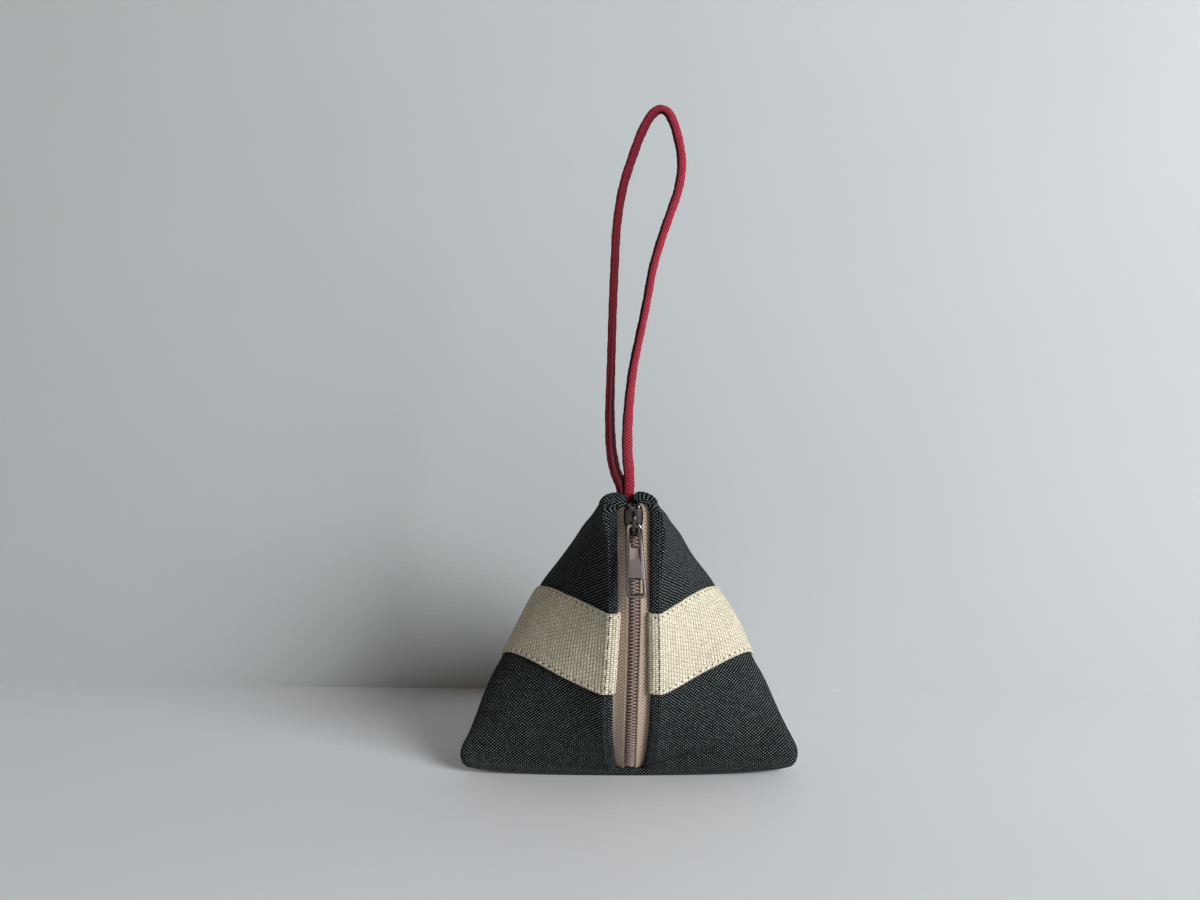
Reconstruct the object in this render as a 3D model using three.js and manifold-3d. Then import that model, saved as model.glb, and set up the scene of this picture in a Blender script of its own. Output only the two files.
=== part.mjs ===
import * as THREE from 'three';
import initManifold from 'manifold-3d';

const manifold = await initManifold();
manifold.setup();

// All lengths are in millimetres and all angles in degrees.
// X runs across the bag, Y from the zip to the back, Z is up. The origin is the middle of the flat patch it stands on.

// Form of the bag. Values in threes are at the bottom seam, at half height and at the apex.
const PANEL_HEIGHT = 104; // along the zip, from the bottom seam to the apex
const ZIP_TUCK = 40; // how far the zip leans out where it leaves the bottom seam
const ZIP_LEAN = 10; // how far the straight part of the zip leans out
const TUCK_LENGTH = 32; // length of zip over which the tuck straightens
const FLOOR_LENGTH = 56; // how far the base lies flat behind the bottom seam
const BACK_RADIUS = 42; // bend with which the base then rises to the rear corner
const SEAM_EDGE = 1.8; // height of the bottom seam's folded edge
const RIDGE_ANGLES = [3, 38.2, 81]; // how steeply the panels fall back from the zip
const FRONT_REACH = [89.4, 79.8, 74.4]; // pull of the front panels' curve to the sides
const BASE_REACH = [72, 22.5, 4]; // pull of the base's curve to the sides
const SIDE_RISE = [0, 0.41, -0.25]; // how much the sides lift behind the zip, as a slope
const BASE_SAG = 16; // how hard the base presses on the floor
const SAG_FULL = 0.12; // share of the height where the base presses hardest
const SAG_END = 0.62; // share of the height where it leaves the floor
const CORNER_HEIGHT = 9; // height over which the bottom corners are rounded
const CORNER_DROP = 9; // how far the rounding takes them in at the floor
const CLOSE_FROM = 0.86; // share of the height where the panels start to close to the back seam
const CLOSE_LENGTH = 0.3; // share of the way to the back over which the closing sets in behind the zip
const RIDGE_HALF = 1.8; // half thickness of the closed back seam
const ROOF_SLOPE = 0.32; // height of the closed apex for each millimetre of half width
const ROOF_EDGE = 1.2; // least height of the back seam

// Cloth layers
const CLOTH = 1.4; // outer cloth with its turned edge
const PADDING = 1.2; // interlining
const LINING = 0.6;
const LAYER_GAP = 0.3;
const PIECE_GAP = 0.4; // between cloth pieces that are sewn edge to edge
const SEAM_DEPTH = 4; // height of the bottom seam piece along the zip
const BAND_BOTTOM = 35.2; // band edges, measured along the zip
const BAND_TOP = 64.7;
const MOST_INSET = 0.8; // share of its distance from the middle that a point is drawn in at most
const TINY = 1e-6;
const LINER_MARGIN = 8; // how far the inner layers stop short of both seams

// Zip
const HEM_EDGE = 6.2; // half of the tape that shows
const HEM_WIDTH = 3.5; // flat turned edge of the cloth beside the zip
const STITCH_INSET = 0.8; // from the end of the hem to the thread
const THREAD = 0.5;
const THREAD_GAP = 0.1; // between the thread and the cloth under it
const TAPE = 0.5;
const TAPE_MARGIN = 0.4; // tape edge stops this far inside the end of the hem
const TEETH_SLOT = 1.2; // between the two tapes and the two coils
const COIL_WIDTH = 1.6;
const COIL_HEIGHT = 1.8;
const COIL_RIPPLE = 0.35;
const COIL_SEAT = 0.1; // between the coil and the tape that it is sewn to
const COIL_PITCH = 1.27;
const ZIP_END_GAP = 0.5;

// Slider and pull tab
const RUN_GAP = 0.3; // clearance between the slider and what it runs on
const SLIDER_LENGTH = 9.5;
const SLIDER_WIDTH = 7;
const SLIDER_NOSE = 4.6; // width of its lower end
const SLIDER_PLATE = 1;
const SLIDER_POST = 0.6;
const SLIDER_POST_LENGTH = 3;
const SLIDER_LIP = 0.9;
const BRIDGE_WIDTH = 1.4;
const BRIDGE_BAR = 1;
const BRIDGE_LENGTH = 7.4;
const BRIDGE_SEAT_GAP = 0.1;
const TAB_THICKNESS = 1.2;
const TAB_LENGTH = 25;
const TAB_TOP_WIDTH = 5.6;
const TAB_BOTTOM_WIDTH = 7;
const TAB_CORNER = 1.2;
const TAB_BAR = 1.2;
const EYE_WIDTH = 2.8;
const EYE_LENGTH = 6.6;
const WINDOW_WIDTH = 4;
const WINDOW_LENGTH = 4.9;
const WINDOW_MARGIN = 1.5;
const TAB_PIVOT_HEIGHT = 4.2; // above the slider's lower end

// Wrist loop: a sewn strap. Points of its middle line as x and the height above its hinge line, from the left
// side over the top to the right side.
const STRAP_WIDTH = 2.6;
const STRAP_THICKNESS = 1.8;
const STRAP_SETBACK = 5.5; // behind the zip's outer face at the apex
const ROOT_RADIUS = 1.1; // rounded top of the sewn ends
const ROOT_WIDTH = 5.9;
const ROOT_HEIGHT = 2.4;
const ROOT_X = -2;
const STRAP_ENDS = 3; // from the middle of one strap end to the other
const STRAP_POINTS = [
  [-5.2, 5.8], [-6.6, 12.8], [-7.2, 24.8], [-6.9, 39.3], [-6.5, 53.3], [-6.2, 62.8], [-5.5, 78.3],
  [-4.8, 90.3], [-2.8, 102.8], [0.6, 113.8], [4.3, 123.3], [7.6, 128.5], [10.1, 129.9], [12.3, 129.1],
  [14.1, 126.3], [15.9, 120.8], [17.3, 111.8], [16.2, 102.8], [13.2, 93.8], [10.1, 84.8], [7.4, 75.3],
  [5.7, 66], [4.6, 60.3], [2.7, 51.3], [0.6, 40.8], [-0.7, 29.8], [-1.3, 20.3], [-1.3, 11.3], [-0.8, 5.8],
];

const COLUMNS = 16; // mesh steps from the zip to the middle of the back
const TIP_STEPS = 200; // steps with which the widest point of a section is looked for
const TIP_RANGE = [0.36, 0.64]; // shares of a section that its middle column keeps to
const STRAP_STEPS = 72;
const CLOTH_ROW = 4.5; // longest mesh step up the cloth

const HEM_END = HEM_EDGE + HEM_WIDTH;
const TAPE_DEPTH = CLOTH + LAYER_GAP;
const COIL_BACK = TAPE_DEPTH - COIL_SEAT;
const COIL_FRONT = COIL_BACK - COIL_HEIGHT;
const ZIP_BOTTOM = SEAM_DEPTH + ZIP_END_GAP;
const ZIP_TOP = PANEL_HEIGHT - CLOTH - ZIP_END_GAP; // clear of the cloth turned in at the apex
const SLIDER_BOTTOM = ZIP_TOP - SLIDER_LENGTH;
const PLATE_FACE = COIL_FRONT - RUN_GAP - SLIDER_PLATE;
const BACK_PLATE = TAPE_DEPTH + TAPE + RUN_GAP;
const PIVOT_DEPTH = PLATE_FACE - RUN_GAP - TAB_BAR * 0.75;
const BRIDGE_FACE = PIVOT_DEPTH - TAB_BAR * 0.75 - RUN_GAP - BRIDGE_BAR;

const radians = THREE.MathUtils.degToRad;
const vector = (x, y, z) => new THREE.Vector3(x, y, z);

// Value at share t of the height, on the parabola through three values.
function through([bottom, middle, top], t) {
  return bottom * (1 - t) * (1 - 2 * t) + middle * 4 * t * (1 - t) + top * t * (2 * t - 1);
}

// Outer face of the zip at height h along it: a bend out of the bottom seam, then a straight line.
function zipLine(h) {
  const tuck = radians(ZIP_TUCK);
  const lean = radians(ZIP_LEAN);
  const radius = TUCK_LENGTH / (tuck - lean);
  const tilt = tuck - Math.min(h, TUCK_LENGTH) / radius;
  const straight = Math.max(0, h - TUCK_LENGTH);
  const y = -radius * (Math.cos(tilt) - Math.cos(tuck)) - straight * Math.sin(lean);
  const z = radius * (Math.sin(tuck) - Math.sin(tilt)) + straight * Math.cos(lean);
  return { y: y - FLOOR_LENGTH / 2, z: z + SEAM_EDGE, tilt };
}

// Point of the zip, x across it, depth into the bag and h along it.
function zipPoint(x, depth, h) {
  const line = zipLine(h);
  return vector(x, line.y + depth * Math.cos(line.tilt), line.z + depth * Math.sin(line.tilt));
}

// Middle of the base and back at height h: flat on the floor, then a bend up to the rear corner.
function backLine(h) {
  const angle = Math.max(0, h - FLOOR_LENGTH) / BACK_RADIUS;
  const y = Math.min(h, FLOOR_LENGTH) + BACK_RADIUS * Math.sin(angle);
  return { y: y - FLOOR_LENGTH / 2, z: BACK_RADIUS * (1 - Math.cos(angle)) };
}

// Shares of a section's curve where the mesh columns lie. The middle column is on the widest point where it can be.
function columnShares(curve) {
  const fine = Array.from({ length: TIP_STEPS + 1 }, (_, i) => curve.getPoint(i / TIP_STEPS).x);
  const widest = fine.indexOf(Math.max(...fine)) / TIP_STEPS;
  const middle = THREE.MathUtils.clamp(widest, ...TIP_RANGE);
  const half = COLUMNS / 2;
  return Array.from({ length: COLUMNS + 1 }, (_, column) => (
    column < half ? middle * column / half : middle + (1 - middle) * (column - half) / half
  ));
}

// Right half of the outer cloth at height h, from the end of the hem round to the middle of the back.
function halfSection(h) {
  const t = h / PANEL_HEIGHT;
  const zip = zipLine(h);
  const back = backLine(h);
  const ridge = radians(through(RIDGE_ANGLES, t));
  const reach = through(FRONT_REACH, t);
  const rise = through(SIDE_RISE, t);
  const sag = BASE_SAG * Math.min(t / SAG_FULL, 1) * Math.max(0, 1 - t / SAG_END);
  const start = vector(HEM_END, zip.y, zip.z);
  const lead = vector(
    HEM_END + reach * Math.cos(ridge),
    zip.y + reach * Math.sin(ridge) * Math.cos(zip.tilt),
    zip.z + reach * (Math.sin(ridge) * Math.sin(zip.tilt) + rise),
  );
  const trail = vector(through(BASE_REACH, t), back.y, back.z - sag);
  const end = vector(0, back.y, back.z);
  const curve = new THREE.CubicBezierCurve3(start, lead, trail, end);
  const shares = columnShares(curve);
  const points = shares.map((share) => curve.getPoint(share));
  const round = Math.max(0, 1 - h / CORNER_HEIGHT);
  const drop = CORNER_DROP * (1 - Math.sqrt(1 - round * round));
  const halfWidth = Math.max(...points.map((point) => point.x));
  const narrowing = 1 - drop / (halfWidth - HEM_END);
  const shut = Math.max(0, (t - CLOSE_FROM) / (1 - CLOSE_FROM));
  const closing = 1 - Math.sqrt(1 - shut * shut);
  points.forEach((point, column) => {
    const closed = closing * THREE.MathUtils.smoothstep(shares[column], 0, CLOSE_LENGTH);
    point.x = Math.min(point.x, HEM_END) + Math.max(0, point.x - HEM_END) * narrowing;
    point.x -= closed * Math.max(0, point.x - RIDGE_HALF);
    point.z = Math.max(0, point.z);
  });
  return points;
}

// The same half section drawn in by a depth, starting at the hem's edge. Each point moves in from the side and towards
// the point that faces it across the bag, but never as far as the middle between them.
function layerHalf(h, depth) {
  const points = halfSection(h);
  const layer = points.map((point, column) => {
    const facing = points[COLUMNS - column];
    const across = vector(0, facing.y - point.y, facing.z - point.z);
    const half = across.length() / 2;
    across.setLength(half * (1 - Math.exp(-depth / Math.max(half, TINY))));
    return vector(point.x - Math.min(depth, MOST_INSET * point.x), point.y + across.y, point.z + across.z);
  });
  layer.unshift(vector(HEM_EDGE, layer[0].y, layer[0].z));
  return layer;
}

const mirrored = (point) => vector(-point.x, point.y, point.z);

// Row of cloth points from the right side of the zip round the back to the left side.
function clothRow(h, depth, firstColumn) {
  const right = layerHalf(h, depth).slice(firstColumn);
  const left = right.slice(0, -1).reverse().map(mirrored);
  return [...right, ...left];
}

function heights(from, to, step) {
  const count = Math.max(1, Math.ceil((to - from) / step));
  return Array.from({ length: count + 1 }, (_, i) => from + (to - from) * i / count);
}

// Heights of the cloth's mesh rows, the same for every layer, so that their facets lie over each other.
const LINER_FROM = SEAM_DEPTH + LINER_MARGIN;
const LINER_TO = PANEL_HEIGHT - LINER_MARGIN;
const rowMarks = [SEAM_DEPTH, LINER_FROM, BAND_BOTTOM, BAND_TOP, LINER_TO, PANEL_HEIGHT];
const ladder = rowMarks.slice(1).flatMap((mark, i) => heights(rowMarks[i], mark, CLOTH_ROW));

function clothHeights(from, to) {
  const between = ladder.filter((h) => h > from + PIECE_GAP && h < to - PIECE_GAP);
  return [from, ...new Set(between), to];
}

const group = new THREE.Group();

function addNode(name, geometry, color, metalness = 0, roughness = 0.9) {
  const material = new THREE.MeshStandardMaterial({ color, metalness, roughness });
  const mesh = new THREE.Mesh(geometry, material);
  mesh.name = name;
  group.add(mesh);
}

// Closed geometry from points and triangles, turned so that its faces look out.
function closedGeometry(points, triangles) {
  let volume = 0;
  const edge = vector(0, 0, 0);
  triangles.forEach(([a, b, c]) => { volume += points[a].dot(edge.crossVectors(points[b], points[c])); });
  const faces = volume > 0 ? triangles : triangles.map(([a, b, c]) => [a, c, b]);
  const geometry = new THREE.BufferGeometry();
  geometry.setAttribute('position', new THREE.Float32BufferAttribute(points.flatMap((p) => p.toArray()), 3));
  geometry.setIndex(faces.flat());
  return geometry;
}

// Thick sheet between an outer and an inner grid of points, with its four edges closed.
function sheetGeometry(outer, inner) {
  const rows = outer.length;
  const columns = outer[0].length;
  const points = [...outer.flat(), ...inner.flat()];
  const out = (r, c) => r * columns + c;
  const into = (r, c) => (rows + r) * columns + c;
  const triangles = [];
  const quad = (a, b, c, d) => triangles.push([a, b, c], [a, c, d]);
  for (let r = 0; r < rows - 1; r += 1) {
    for (let c = 0; c < columns - 1; c += 1) {
      quad(out(r, c), out(r, c + 1), out(r + 1, c + 1), out(r + 1, c));
      quad(into(r, c), into(r + 1, c), into(r + 1, c + 1), into(r, c + 1));
    }
    quad(out(r, 0), out(r + 1, 0), into(r + 1, 0), into(r, 0));
    quad(out(r, columns - 1), into(r, columns - 1), into(r + 1, columns - 1), out(r + 1, columns - 1));
  }
  for (let c = 0; c < columns - 1; c += 1) {
    quad(out(0, c), into(0, c), into(0, c + 1), out(0, c + 1));
    quad(out(rows - 1, c), out(rows - 1, c + 1), into(rows - 1, c + 1), into(rows - 1, c));
  }
  return closedGeometry(points, triangles);
}

// Triangles that close a stretch of a ring, as a ladder of rungs between its two ends.
function ladderTriangles([first, count], size) {
  const triangles = [];
  for (let i = 0; i < count / 2; i += 1) {
    const [a, b, c, d] = [i, i + 1, count - i - 1, count - i].map((step) => (first + step) % size);
    triangles.push([a, b, c], [a, c, d]);
  }
  return triangles.filter((triangle) => new Set(triangle).size === 3);
}

// Solid through a row of closed rings, with a cap at each end. The cuts are the stretches of a ring that a cap is made of.
function ringGeometry(rings, cuts = [[0, rings[0].length]]) {
  const size = rings[0].length;
  const triangles = [];
  for (let r = 0; r < rings.length - 1; r += 1) {
    for (let c = 0; c < size; c += 1) {
      const next = (c + 1) % size;
      const [a, b] = [r * size + c, r * size + next];
      triangles.push([a, b, b + size], [a, b + size, a + size]);
    }
  }
  const last = (rings.length - 1) * size;
  cuts.flatMap((cut) => ladderTriangles(cut, size)).forEach(([a, b, c]) => {
    triangles.push([a, c, b], [last + a, last + b, last + c]);
  });
  return closedGeometry(rings.flat(), triangles);
}

// Prism that follows the zip. The sides of each row give x and depth: its two edges, its front and its back.
function zipPrism(rows, sides) {
  const rings = rows.map((h, i) => {
    const [x0, x1, front, back] = sides(h, i);
    return [zipPoint(x0, front, h), zipPoint(x1, front, h), zipPoint(x1, back, h), zipPoint(x0, back, h)];
  });
  return ringGeometry(rings);
}

// Places a shape drawn in x and h, and extruded outwards, on the straight part of the zip.
function onZip(geometry, depth, h) {
  const lean = radians(ZIP_LEAN);
  const up = vector(0, -Math.sin(lean), Math.cos(lean));
  const outward = vector(0, -Math.cos(lean), -Math.sin(lean));
  const matrix = new THREE.Matrix4().makeBasis(vector(1, 0, 0), up, outward).setPosition(zipPoint(0, depth, h));
  return geometry.applyMatrix4(matrix);
}

function extruded(shape, thickness, curveSegments = 6) {
  return new THREE.ExtrudeGeometry(shape, { depth: thickness, bevelEnabled: false, curveSegments });
}

function solidOf(geometry) {
  const plain = geometry.index ? geometry.toNonIndexed() : geometry;
  const position = plain.getAttribute('position');
  const mesh = new manifold.Mesh({
    numProp: 3,
    vertProperties: new Float32Array(position.array),
    triVerts: Uint32Array.from({ length: position.count }, (_, i) => i),
  });
  mesh.merge();
  return new manifold.Manifold(mesh);
}

function geometryOf(solid) {
  const mesh = solid.getMesh();
  const geometry = new THREE.BufferGeometry();
  geometry.setAttribute('position', new THREE.Float32BufferAttribute(mesh.vertProperties, 3));
  geometry.setIndex(Array.from(mesh.triVerts));
  return geometry;
}

const joined = (geometries) => geometryOf(manifold.Manifold.union(geometries.map(solidOf)));

// Cloth panels

const DARK_LINEN = 0x2c3131;
const CREAM_LINEN = 0xd9cfb8;

function addCloth(name, from, to, depth, thickness, color, firstColumn = 0) {
  const rows = clothHeights(from, to);
  const outer = rows.map((h) => clothRow(h, depth, firstColumn));
  const inner = rows.map((h) => clothRow(h, depth + thickness, firstColumn));
  addNode(name, sheetGeometry(outer, inner), color);
}

addCloth('lower_panel', SEAM_DEPTH, BAND_BOTTOM - PIECE_GAP / 2, 0, CLOTH, DARK_LINEN);
addCloth('band_panel', BAND_BOTTOM + PIECE_GAP / 2, BAND_TOP - PIECE_GAP / 2, 0, CLOTH, CREAM_LINEN);
addCloth('upper_panel', BAND_TOP + PIECE_GAP / 2, PANEL_HEIGHT, 0, CLOTH, DARK_LINEN);

const PADDING_DEPTH = CLOTH + LAYER_GAP;
const LINING_DEPTH = PADDING_DEPTH + PADDING + LAYER_GAP;
const LINER_COLUMN = 2; // the inner layers start beside the hem, clear of the tape
addCloth('interlining', LINER_FROM, LINER_TO, PADDING_DEPTH, PADDING, 0xe8e6e0, LINER_COLUMN);
addCloth('lining', LINER_FROM, LINER_TO, LINING_DEPTH, LINING, 0xb9b2a4, LINER_COLUMN);

// Seams

// Full ring of cloth drawn in by a depth, closed across the zip.
function clothRing(h, depth = 0) {
  const row = clothRow(h, depth, 0);
  return [vector(0, row[0].y, row[0].z), ...row];
}

const bottomRings = heights(0, SEAM_DEPTH - PIECE_GAP, SEAM_DEPTH / 3).map((h) => clothRing(h));
bottomRings.push(clothRing(SEAM_DEPTH - PIECE_GAP, CLOTH + LAYER_GAP));
const halfRing = COLUMNS + 2;
addNode('bottom_seam', ringGeometry(bottomRings, [[0, halfRing], [halfRing, halfRing]]), DARK_LINEN);

// Closes the cloth over the apex: the ring narrows to the seam while it rises.
function roofRing(angle, depth = 0) {
  return clothRing(PANEL_HEIGHT, depth).map((p) => {
    const width = Math.abs(p.x) < HEM_END && p.y < zipLine(PANEL_HEIGHT).y + CLOTH ? HEM_END : Math.abs(p.x);
    const height = Math.max(ROOF_EDGE, ROOF_SLOPE * width);
    return vector(p.x * Math.cos(angle), p.y, p.z + PIECE_GAP + height * Math.sin(angle));
  });
}

const roofRings = [roofRing(0, CLOTH + LAYER_GAP), ...[0, 28, 54, 78].map((angle) => roofRing(radians(angle)))];
addNode('back_seam', ringGeometry(roofRings), DARK_LINEN);

// Zip: two tapes, two coils and two rows of thread along the hems

const tapeRows = [...heights(ZIP_BOTTOM, TUCK_LENGTH, 4), ZIP_TOP];
const coilRows = heights(ZIP_BOTTOM, ZIP_TOP, COIL_PITCH / 2);
const slotEdge = TEETH_SLOT / 2;
const coilEdge = slotEdge + COIL_WIDTH;
const tapeEdge = (h) => layerHalf(h, CLOTH)[1].x - TAPE_MARGIN; // inside the bend of the cloth
const coilFront = (row) => COIL_FRONT + (row % 2) * COIL_RIPPLE;
const threadFrom = HEM_END - STITCH_INSET - THREAD / 2;
for (const [side, sign] of [['left', -1], ['right', 1]]) {
  const tapeSides = (h) => [sign * slotEdge, sign * tapeEdge(h), TAPE_DEPTH, TAPE_DEPTH + TAPE];
  addNode(`zip_tape_${side}`, zipPrism(tapeRows, tapeSides), 0xa8927e);
  const coilSides = (h, row) => [sign * slotEdge, sign * coilEdge, coilFront(row), COIL_BACK];
  addNode(`zip_coil_${side}`, zipPrism(coilRows, coilSides), 0xb49a8c, 0, 0.45);
  const threadSides = () => [sign * threadFrom, sign * (threadFrom + THREAD), -THREAD_GAP - THREAD, -THREAD_GAP];
  addNode(`zip_stitch_${side}`, zipPrism(tapeRows, threadSides), 0x1c2024);
}

// Slider: two plates joined by a post between the coils, with lips at the sides of the front plate

const GUNMETAL = 0x3b3a3c;

function plateShape() {
  const shape = new THREE.Shape();
  const shoulder = SLIDER_LENGTH * 0.55;
  shape.moveTo(-SLIDER_NOSE / 2, 0);
  shape.lineTo(SLIDER_NOSE / 2, 0);
  shape.lineTo(SLIDER_WIDTH / 2, shoulder);
  shape.lineTo(SLIDER_WIDTH / 2, SLIDER_LENGTH - 1.2);
  shape.lineTo(SLIDER_WIDTH / 2 - 1.2, SLIDER_LENGTH);
  shape.lineTo(-SLIDER_WIDTH / 2 + 1.2, SLIDER_LENGTH);
  shape.lineTo(-SLIDER_WIDTH / 2, SLIDER_LENGTH - 1.2);
  shape.lineTo(-SLIDER_WIDTH / 2, shoulder);
  shape.closePath();
  return shape;
}

// Block from x0 to x1, from height h0 to h1 above the slider's lower end and between two depths.
function sliderBlock(x0, x1, h0, h1, frontDepth, backDepth) {
  const block = new THREE.BoxGeometry(x1 - x0, h1 - h0, backDepth - frontDepth);
  block.translate((x0 + x1) / 2, (h0 + h1) / 2, (backDepth - frontDepth) / 2);
  return onZip(block, backDepth, SLIDER_BOTTOM);
}

const shoulderFrom = SLIDER_LENGTH * 0.55;
const lipTo = SLIDER_LENGTH - 1.2;
const lipBack = TAPE_DEPTH - RUN_GAP;
addNode('slider_body', joined([
  onZip(extruded(plateShape(), SLIDER_PLATE), PLATE_FACE + SLIDER_PLATE, SLIDER_BOTTOM),
  onZip(extruded(plateShape(), SLIDER_PLATE), BACK_PLATE + SLIDER_PLATE, SLIDER_BOTTOM),
  sliderBlock(-SLIDER_POST / 2, SLIDER_POST / 2, SLIDER_LENGTH - SLIDER_POST_LENGTH, SLIDER_LENGTH,
    PLATE_FACE + SLIDER_PLATE / 2, BACK_PLATE + SLIDER_PLATE / 2),
  sliderBlock(SLIDER_WIDTH / 2 - SLIDER_LIP, SLIDER_WIDTH / 2, shoulderFrom, lipTo, PLATE_FACE + SLIDER_PLATE / 2, lipBack),
  sliderBlock(-SLIDER_WIDTH / 2, -SLIDER_WIDTH / 2 + SLIDER_LIP, shoulderFrom, lipTo, PLATE_FACE + SLIDER_PLATE / 2, lipBack),
]), GUNMETAL, 0.9, 0.25);

const bridgeFrom = TAB_PIVOT_HEIGHT - BRIDGE_LENGTH * 0.4;
const bridgeTo = bridgeFrom + BRIDGE_LENGTH;
const bridgeFoot = PLATE_FACE - BRIDGE_SEAT_GAP;
addNode('slider_bridge', joined([
  sliderBlock(-BRIDGE_WIDTH / 2, BRIDGE_WIDTH / 2, bridgeFrom, bridgeTo, BRIDGE_FACE, BRIDGE_FACE + BRIDGE_BAR),
  sliderBlock(-BRIDGE_WIDTH / 2, BRIDGE_WIDTH / 2, bridgeFrom, bridgeFrom + BRIDGE_BAR, BRIDGE_FACE, bridgeFoot),
  sliderBlock(-BRIDGE_WIDTH / 2, BRIDGE_WIDTH / 2, bridgeTo - BRIDGE_BAR, bridgeTo, BRIDGE_FACE, bridgeFoot),
]), GUNMETAL, 0.9, 0.25);

// Pull tab: hangs from its bar under the bridge, with an eye that the bridge's foot passes through and a window below

function tabShape() {
  const top = TAB_BAR / 2;
  const bottom = top - TAB_LENGTH;
  const upper = TAB_TOP_WIDTH / 2;
  const lower = TAB_BOTTOM_WIDTH / 2;
  const shape = new THREE.Shape();
  shape.moveTo(-lower, bottom + TAB_CORNER);
  shape.quadraticCurveTo(-lower, bottom, -lower + TAB_CORNER, bottom);
  shape.lineTo(lower - TAB_CORNER, bottom);
  shape.quadraticCurveTo(lower, bottom, lower, bottom + TAB_CORNER);
  shape.lineTo(upper, top - TAB_CORNER);
  shape.quadraticCurveTo(upper, top, upper - TAB_CORNER, top);
  shape.lineTo(-upper + TAB_CORNER, top);
  shape.quadraticCurveTo(-upper, top, -upper, top - TAB_CORNER);
  shape.closePath();
  const eye = new THREE.Path();
  const eyeRadius = EYE_WIDTH / 2;
  const eyeTop = top - TAB_BAR;
  eye.moveTo(-eyeRadius, eyeTop);
  eye.lineTo(eyeRadius, eyeTop);
  eye.lineTo(eyeRadius, eyeTop - EYE_LENGTH + eyeRadius);
  eye.absarc(0, eyeTop - EYE_LENGTH + eyeRadius, eyeRadius, 0, -Math.PI, true);
  eye.closePath();
  const windowLow = bottom + WINDOW_MARGIN;
  const opening = new THREE.Path();
  opening.moveTo(-WINDOW_WIDTH / 2, windowLow);
  opening.lineTo(WINDOW_WIDTH / 2, windowLow);
  opening.lineTo(WINDOW_WIDTH / 2, windowLow + WINDOW_LENGTH);
  opening.lineTo(-WINDOW_WIDTH / 2, windowLow + WINDOW_LENGTH);
  opening.closePath();
  shape.holes.push(eye, opening);
  return shape;
}

// The tab hangs plumb from its pivot while the zip leans out over it.
const tabPivot = zipPoint(0, PIVOT_DEPTH, SLIDER_BOTTOM + TAB_PIVOT_HEIGHT);
const tab = extruded(tabShape(), TAB_THICKNESS);
tab.translate(0, 0, -TAB_THICKNESS / 2).rotateX(Math.PI / 2);
tab.translate(tabPivot.x, tabPivot.y, tabPivot.z);
addNode('pull_tab', tab, GUNMETAL, 0.9, 0.2);

// Wrist loop and the sewn ends that it swings on

const BURGUNDY = 0x7d1226;
const strapY = zipLine(PANEL_HEIGHT).y + STRAP_SETBACK;

// Height of the closed apex at a distance y from front to back, along its topmost ring.
function roofHeight(y) {
  const ring = roofRings.at(-1).slice(1, COLUMNS + 3);
  const next = ring.findIndex((point) => point.y > y);
  const [a, b] = [ring[next - 1], ring[next]];
  return a.z + (b.z - a.z) * (y - a.y) / (b.y - a.y);
}

const roofTop = Math.max(roofHeight(strapY - ROOT_RADIUS), roofHeight(strapY + ROOT_RADIUS));
const pivotZ = roofTop + ROOT_HEIGHT - ROOT_RADIUS;

const rootShape = new THREE.Shape();
rootShape.moveTo(-ROOT_RADIUS, roofTop + LAYER_GAP - pivotZ);
rootShape.lineTo(ROOT_RADIUS, roofTop + LAYER_GAP - pivotZ);
rootShape.lineTo(ROOT_RADIUS, 0);
rootShape.absarc(0, 0, ROOT_RADIUS, 0, Math.PI, false);
rootShape.closePath();
const root = extruded(rootShape, ROOT_WIDTH);
root.rotateX(Math.PI / 2).rotateZ(Math.PI / 2);
root.translate(ROOT_X - ROOT_WIDTH / 2, strapY, pivotZ);
addNode('loop_root', root, BURGUNDY);

const loopFrom = pivotZ + ROOT_RADIUS + LAYER_GAP;
const hung = STRAP_POINTS.map(([x, height]) => [x, pivotZ + height]);
const strapPath = [[ROOT_X - STRAP_ENDS / 2, loopFrom], ...hung, [ROOT_X + STRAP_ENDS / 2, loopFrom]];
const strapLine = new THREE.CatmullRomCurve3(strapPath.map(([x, z]) => vector(x, strapY, z)), false, 'centripetal');
const strapSection = Array.from({ length: 8 }, (_, k) => {
  const angle = Math.PI * (2 * k + 1) / 8;
  const grow = 1 / Math.cos(Math.PI / 8);
  return [grow * Math.cos(angle) * STRAP_WIDTH / 2, grow * Math.sin(angle) * STRAP_THICKNESS / 2];
});
const strapRings = Array.from({ length: STRAP_STEPS + 1 }, (_, i) => {
  const share = i / STRAP_STEPS;
  const centre = strapLine.getPointAt(share);
  const along = i === 0 || i === STRAP_STEPS ? vector(0, 0, i === 0 ? 1 : -1) : strapLine.getTangentAt(share);
  const across = vector(0, 1, 0).cross(along).normalize();
  return strapSection.map(([a, b]) => centre.clone().addScaledVector(across, a).add(vector(0, b, 0)));
});
addNode('wrist_loop', ringGeometry(strapRings), BURGUNDY);

export default group;
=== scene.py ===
"""Looks of the wrist bag: a four-cornered cloth pouch with a zip, a pull tab and a sewn wrist loop."""
import math

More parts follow.
